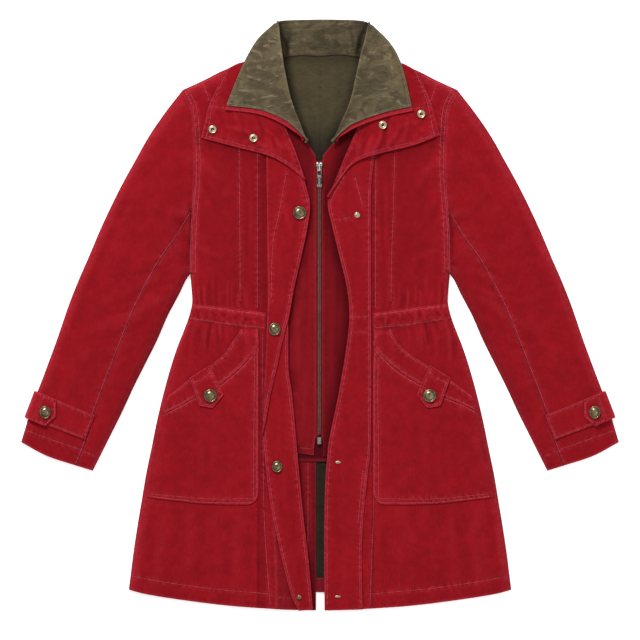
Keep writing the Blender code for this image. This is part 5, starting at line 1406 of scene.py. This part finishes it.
def make_slider(steel, dull, recess):
    """The slider with its bridge, the pull tab that hangs from it, and the retainer."""
    x, (low, high), (foot, head) = CHAIN_X, SLIDER_Y, SLIDER_BASE_Z
    middle_z, top = (foot + head) / 2, BRIDGE_TOP_Z - 0.9
    body = Metal()
    body.block((x, high - 4.2, middle_z), (2 * SLIDER_HALF, 7.6, head - foot), 0.9)
    body.block((x, low + 5.2, middle_z), (7.8, 10.2, head - foot), 0.9)
    for side in (-1, 1):
        body.dome((x + side * 3.0, high - 3.6, head - 0.3), 2.3, 1.7)
    bridge = [(high - 1.6, head - 0.6), (high - 2.4, head + 1.6), (high - 4.4, top - 0.4),
              (high - 7.0, top), (low + 4.5, top), (low + 2.0, top - 0.3), (low + 0.9, top - 1.6),
              (low + 0.7, head + 0.2)]
    body.sweep([(x, *place) for place in bridge], (1, 0, 0), 1.6, 2.6)
    body.finish("zip_slider_detail", steel, "zip_slider")
    # A thin dark plate of painted shade in the slider's recess.
    hollow = Metal()
    hollow.block((x, low + 7.2, head + 0.03), (4.6, 5.2, 0.1), 0.05)
    hollow.finish("zip_slider_recess", recess)

    pull = Metal()
    eye_low, eye_high = PULL_EYE
    middle = PULL_EYE_HALF + 0.7
    ring = [(middle * math.cos(a), eye_low + 1.9 - 2.5 * math.sin(a), 0)
            for a in map(math.radians, np.linspace(0, 180, 7))]
    ring += [(-middle, eye_high - 2, 0), (-middle, eye_high + 0.6, 0), (middle, eye_high + 0.6, 0),
             (middle, eye_high - 2, 0)]
    pull.sweep(ring, (0, 0, 1), 1.4, 1.3, closed=True)
    for s, h, size in PULL_BLOCKS:
        pull.block((0, s, h), size, 0.3)
    pull.hang()
    pull.finish("zip_pull_detail", dull, "zip_pull", body="pull")
    # Thin dark plates of painted shade in the pull's grooves.
    grooves = Metal()
    for side in (-1, 1):
        grooves.block((side * 2.75, 17.8, 0.48), (1.9, 10.4, 0.1), 0.05)
    grooves.hang()
    grooves.finish("zip_pull_recess", recess, body="pull")

    low_corner, high_corner = box("zip_retainer")
    middle, size = (low_corner + high_corner) / 2, high_corner - low_corner
    retainer = Metal()
    retainer.block(middle, size, 0.7)
    for share in (-0.25, 0.1):
        retainer.block((middle.x, middle.y + share * size.y, high_corner.z),
                       (size.x * 0.8, size.y * 0.14, 0.5), 0.2)
    retainer.finish("zip_retainer_detail", dull, "zip_retainer")


def make_zip(bronze, tape):
    """Two staggered rows of teeth on a ribbed tape."""
    low, high = CHAIN_LOW_Y, SLIDER_Y[0] - 1.0
    teeth = Metal()
    for k in range(int((high - low) / TOOTH_PITCH)):
        y = low + TOOTH_PITCH * (k + 0.5)
        teeth.block((CHAIN_X - TOOTH_OFF, y, TOOTH_Z), TOOTH, 0.25)
        teeth.block((CHAIN_X + TOOTH_OFF, y + TOOTH_PITCH / 2, TOOTH_Z), TOOTH, 0.25)
    teeth.finish("zip_teeth", bronze, "zip_chain")
    u, v = np.meshgrid(np.linspace(0, 1, 9), np.linspace(0, 1, 230))
    (left, right), (top, bottom) = TAPE_X, TAPE_Y
    place = quad((left, top), (left, bottom), (right, top), (right, bottom))
    x, y = np.moveaxis(place(u, v), -1, 0)
    off = -np.abs(x - CHAIN_X)
    z = TAPE_Z + 0.12 * np.sin(v * 900) - 1.4 * smooth(off, -9.4, -5.0) * 0.35
    band = mesh_object("zip_tape", np.stack([x, y, z], axis=-1).reshape(-1, 3),
                       grid_faces(u.shape)[1], tape, "coat")
    # Painted shade on the tape along the teeth.
    paint(band, "deep", 0.85 * smooth(off, -4.2, -3.0).ravel())


# ---- materials --------------------------------------------------------------------------
class Look:
    """A material. An output of a node, a number or a colour can feed any of its inputs."""

    def __init__(self, name, roughness, shine=None):
        self.made = bpy.data.materials.new(name)
        self.made.use_nodes = True
        self.tree = self.made.node_tree
        self.shader = self.tree.nodes["Principled BSDF"].inputs
        self.feed(self.shader["Roughness"], roughness)
        if shine is not None:
            self.feed(self.shader["Specular IOR Level"], shine)

    def add(self, kind, **values):
        node = self.tree.nodes.new("ShaderNode" + kind)
        for key, value in values.items():
            if key in node.inputs.keys():
                node.inputs[key].default_value = value
            else:
                setattr(node, key, value)
        return node

    def feed(self, socket, value):
        if isinstance(value, bpy.types.NodeSocket):
            self.tree.links.new(value, socket)
        else:
            socket.default_value = (*value, 1) if isinstance(value, tuple) else value

    def noise(self, coords, scale, stretch=(1, 1, 1), kind="TexNoise", **values):
        """A noise or wave texture, in metres, stretched if asked."""
        mapping = self.add("Mapping")
        mapping.inputs["Scale"].default_value = stretch
        self.tree.links.new(coords, mapping.inputs["Vector"])
        node = self.add(kind, Scale=scale, **values)
        self.tree.links.new(mapping.outputs["Vector"], node.inputs["Vector"])
        return node.outputs["Fac"]

    def mix(self, factor, first, second):
        node = self.add("Mix", data_type="RGBA", blend_type="MIX")
        for k, value in ((0, factor), (6, first), (7, second)):
            self.feed(node.inputs[k], value)
        return node.outputs[2]

    def range(self, value, low, high, to_low=0.0, to_high=1.0):
        node = self.add("MapRange")
        for key, limit in (("From Min", low), ("From Max", high), ("To Min", to_low),
                           ("To Max", to_high), ("Value", value)):
            self.feed(node.inputs[key], limit)
        return node.outputs["Result"]

    def maths(self, operation, first, second):
        node = self.add("Math", operation=operation)
        self.feed(node.inputs[0], first)
        self.feed(node.inputs[1], second)
        return node.outputs[0]

    def painted(self, label):
        return self.add("Attribute", attribute_name=label).outputs["Fac"]

    def bump(self):
        """A bump over the surface, as the input for its height."""
        node = self.add("Bump", Distance=1.0, Strength=1.0)
        self.tree.links.new(node.outputs["Normal"], self.shader["Normal"])
        return node.inputs["Height"]


def canvas(name, base, dark, pale, wear_amount=1.0):
    """Washed cotton canvas: mottled dye, a fine weave, and pale rubbed seams and edges,
    partly a painted highlight; painted shade where the shell is marked.
    """
    look = Look(name, 0.9, 0.05)
    world = look.add("TexCoord").outputs["Object"]
    cut = look.add("UVMap", uv_map="cut").outputs["UV"]
    mottle = look.noise(world, 55.0, Detail=6.0, Roughness=0.62)
    broad = look.noise(world, 13.0, Detail=3.0, Roughness=0.5)
    streaks = look.noise(cut, 420.0, (1.0, 0.22, 1.0), Detail=4.0, Roughness=0.7)
    flecks = look.noise(world, 900.0, Detail=3.0, Roughness=0.65)
    tone = look.mix(look.range(mottle, 0.36, 0.66, 0.45, 1.0), dark, base)
    tone = look.mix(look.range(broad, 0.35, 0.65, 0.0, 0.35), tone, dark)
    tone = look.mix(look.range(streaks, 0.52, 0.78, 0.0, 0.14), tone, pale)
    tone = look.mix(look.range(flecks, 0.56, 0.80, 0.0, 0.22), tone, pale)
    wear_and_highlight = look.painted("wear_and_highlight")
    scuffs = look.noise(world, 300.0, Detail=4.0, Roughness=0.7)
    # Paler where rubbed: wear, partly a painted highlight.
    rubbed = look.maths("MULTIPLY", wear_and_highlight, look.range(scuffs, 0.38, 0.62, 0.35, 1.25))
    tone = look.mix(look.maths("MULTIPLY", rubbed, 0.55 * wear_amount), tone, pale)
    # Painted shade where the shell marks it.
    tone = look.mix(look.painted("deep"), tone, tuple(c * 0.45 for c in dark))
    look.feed(look.shader["Base Color"], tone)
    warp, weft = (look.noise(cut, 330.0, kind="TexWave", Distortion=1.2, Detail=1.0,
                             bands_direction=way) for way in "XY")
    weave = look.maths("MULTIPLY", look.maths("ADD", warp, weft), 0.00008)
    height = look.maths("ADD", weave, look.maths("MULTIPLY", mottle, 0.0009))
    fine = look.maths("MULTIPLY", streaks, 0.00030)
    bump = look.bump()
    look.feed(bump, look.maths("ADD", height, fine))
    return look.made


def crushed(name, base, dark, pale, patch_amount=1.0):
    """Crushed olive cloth: soft irregular patches, paler where the crumples are rubbed,
    and painted shade where the shell is marked.
    """
    look = Look(name, 0.75, 0.12)
    world = look.add("TexCoord").outputs["Object"]
    big = look.noise(world, 26.0, (1.0, 1.5, 1.0), Detail=2.5, Roughness=0.5, Distortion=1.0)
    second = look.noise(world, 34.0, (0.8, 1.9, 1.0), Detail=4.0, Roughness=0.6, Distortion=1.6)
    crumple = look.noise(world, 120.0, (0.7, 1.4, 1.0), Detail=7.0, Roughness=0.72)
    fine = look.noise(world, 1100.0, Detail=2.0)
    tone = look.mix(look.range(big, 0.46, 0.54, 0.0, patch_amount), base, dark)
    tone = look.mix(look.range(second, 0.58, 0.63, 0.0, 0.55 * patch_amount), tone, pale)
    tone = look.mix(look.range(crumple, 0.45, 0.75, 0.0, 0.30), tone, pale)
    tone = look.mix(look.range(fine, 0.35, 0.75, 0.0, 0.20), tone, dark)
    tone = look.mix(look.maths("MULTIPLY", look.painted("wear_and_highlight"), 0.25), tone, pale)
    # Painted shade where the shell marks it.
    tone = look.mix(look.painted("deep"), tone, tuple(c * 0.28 for c in dark))
    look.feed(look.shader["Base Color"], tone)
    bump = look.bump()
    look.feed(bump, look.maths("ADD", look.maths("MULTIPLY", crumple, 0.0020),
                               look.maths("MULTIPLY", fine, 0.0001)))
    return look.made


def metal(name, base, worn, roughness, scale=700.0):
    """Worn metal, with painted shade where it slants away."""
    look = Look(name, 0.5)
    grain = look.noise(look.add("TexCoord").outputs["Object"], scale, Detail=4.0, Roughness=0.6)
    tone = look.mix(look.range(grain, 0.4, 0.65), base, worn)
    # Painted shade where the surface slants away, darkening the rims.
    slant = look.add("LayerWeight", Blend=0.5).outputs["Facing"]
    tone = look.mix(look.range(slant, 0.06, 0.50, 0.0, 0.92), tone, tuple(c * 0.2 for c in base))
    look.feed(look.shader["Base Color"], tone)
    look.feed(look.shader["Metallic"], 0.95)
    look.feed(look.shader["Roughness"],
              look.range(grain, 0.3, 0.7, roughness - 0.08, roughness + 0.12))
    bump = look.bump()
    look.feed(bump, look.maths("MULTIPLY", grain, 0.00012))
    return look.made


def thread(name, colour, pale):
    look = Look(name, 0.85, 0.08)
    grain = look.noise(look.add("TexCoord").outputs["Object"], 160.0, Detail=3.0)
    look.feed(look.shader["Base Color"], look.mix(look.range(grain, 0.3, 0.7), colour, pale))
    return look.made


# ---- the scene --------------------------------------------------------------------------
RED = canvas("red_canvas", (0.234, 0.0042, 0.0084), (0.156, 0.0028, 0.0058),
             (0.42, 0.034, 0.052))
# A shaded copy of the red canvas: painted shade for the inner panels and the under-placket.
SHADED_INNER_RED = canvas("shaded_inner_canvas", (0.195, 0.0046, 0.0088), (0.13, 0.0030, 0.0062),
                   (0.33, 0.030, 0.042))
DARK_RED = canvas("shaded_canvas", (0.16, 0.0060, 0.0100), (0.11, 0.004, 0.008),
                  (0.26, 0.030, 0.040), 0.6)
OLIVE = crushed("olive_cloth", (0.092, 0.070, 0.036), (0.056, 0.043, 0.022),
                (0.205, 0.160, 0.102))
LINING_CLOTH = crushed("lining_cloth", (0.049, 0.038, 0.0175), (0.038, 0.029, 0.0135),
                       (0.072, 0.057, 0.030), 0.5)
BRASS = metal("antique_brass", (0.130, 0.093, 0.052), (0.29, 0.225, 0.135), 0.26, 260.0)
PALE_BRASS = metal("pale_brass", (0.38, 0.285, 0.185), (0.64, 0.52, 0.37), 0.34, 500.0)
BRONZE = metal("zip_bronze", (0.20, 0.080, 0.060), (0.55, 0.30, 0.24), 0.40)
STEEL = metal("zip_steel", (0.48, 0.45, 0.40), (0.80, 0.77, 0.72), 0.26)
DULL_STEEL = metal("dull_steel", (0.13, 0.11, 0.10), (0.50, 0.45, 0.41), 0.36)
# Near-black: painted shade in the snap holes and in the slider's and pull's recesses.
RECESS_SHADE = metal("painted_recess_shade", (0.020, 0.014, 0.012), (0.05, 0.04, 0.035), 0.50)
RED_THREAD = thread("red_thread", (0.33, 0.020, 0.032), (0.52, 0.080, 0.102))
OLIVE_THREAD = thread("olive_thread", (0.13, 0.105, 0.062), (0.21, 0.175, 0.115))

make_back(RED, LINING_CLOTH, DARK_RED)
for half in SIDES:
    make_sleeve(half, RED)
    make_front(half, RED)
    make_casing(half, RED)
    make_pocket(half, RED)
    make_cuff(half, RED)
make_closure(RED, SHADED_INNER_RED, DARK_RED)
for half, lapel_table, leaf_table in ((-1, LAPEL_RIGHT, LEAF_RIGHT), (1, LAPEL_LEFT, LEAF_LEFT)):
    make_lapel(half, lapel_table, RED)
    make_leaf(half, leaf_table, RED, OLIVE)
make_stand(RED, OLIVE)
make_snaps(BRASS, PALE_BRASS, RECESS_SHADE)
make_zip(BRONZE, DARK_RED)
make_slider(STEEL, DULL_STEEL, RECESS_SHADE)
for row, (row_points, row_faces) in THREADS.items():
    on_olive = row == "collar"
    mesh_object("stitching_" + row, row_points, row_faces,
                OLIVE_THREAD if on_olive else RED_THREAD, "coat")


def area_light(name, at, size, power):
    light = bpy.data.lights.new(name, "AREA")
    light.shape = "RECTANGLE"
    light.size, light.size_y = size
    light.energy = power
    light.color = (1, 1, 1)
    obj = bpy.data.objects.new(name, light)
    obj.location = at
    obj.rotation_euler = (-Vector(at)).to_track_quat("-Z", "Y").to_euler()
    bpy.context.scene.collection.objects.link(obj)


FLOOR_HALF, FLOOR_Z = 4000, -0.5           # millimetres
FLOOR_GREY, FLOOR_GLOW, ROOM_LIGHT = 0.95, 0.42, 0.64
LIGHTS = {  # place and size in metres, and watts
    "key": ((-1.7, 3.8, 3.4), (1.8, 1.3), 335), "fill": ((1.4, -0.8, 2.4), (2.4, 2.0), 14)}
LENS, SENSOR = 240, 36                     # millimetres
SHOWN_WIDTH, COAT_LEVEL = 1.024, 0.012     # metres, of the picture at the coat's height
CAMERA_Y = -0.0075
floor_look = Look("pale_floor", 0.9)
floor_look.feed(floor_look.shader["Base Color"], (FLOOR_GREY,) * 3)
floor_look.feed(floor_look.shader["Emission Color"], (1, 1, 1))
floor_look.feed(floor_look.shader["Emission Strength"], FLOOR_GLOW)
corners = [(x * FLOOR_HALF, y * FLOOR_HALF, FLOOR_Z)
           for x, y in ((-1, -1), (1, -1), (1, 1), (-1, 1))]
mesh_object("floor", corners, [(0, 1, 2, 3)], floor_look.made)
for light_name, (light_at, light_size, watts) in LIGHTS.items():
    area_light(light_name, light_at, light_size, watts)
room = bpy.data.worlds.new("soft_room")
bpy.context.scene.world = room
room.use_nodes = True
room.node_tree.nodes["Background"].inputs["Color"].default_value = (1, 1, 1, 1)
room.node_tree.nodes["Background"].inputs["Strength"].default_value = ROOM_LIGHT
bpy.context.scene.view_settings.view_transform = "Standard"

view = bpy.data.cameras.new("above")
view.lens, view.sensor_width = LENS, SENSOR
camera = bpy.data.objects.new("above", view)
camera.location = (0, CAMERA_Y, COAT_LEVEL + SHOWN_WIDTH * LENS / SENSOR)
bpy.context.scene.collection.objects.link(camera)
bpy.context.scene.camera = camera
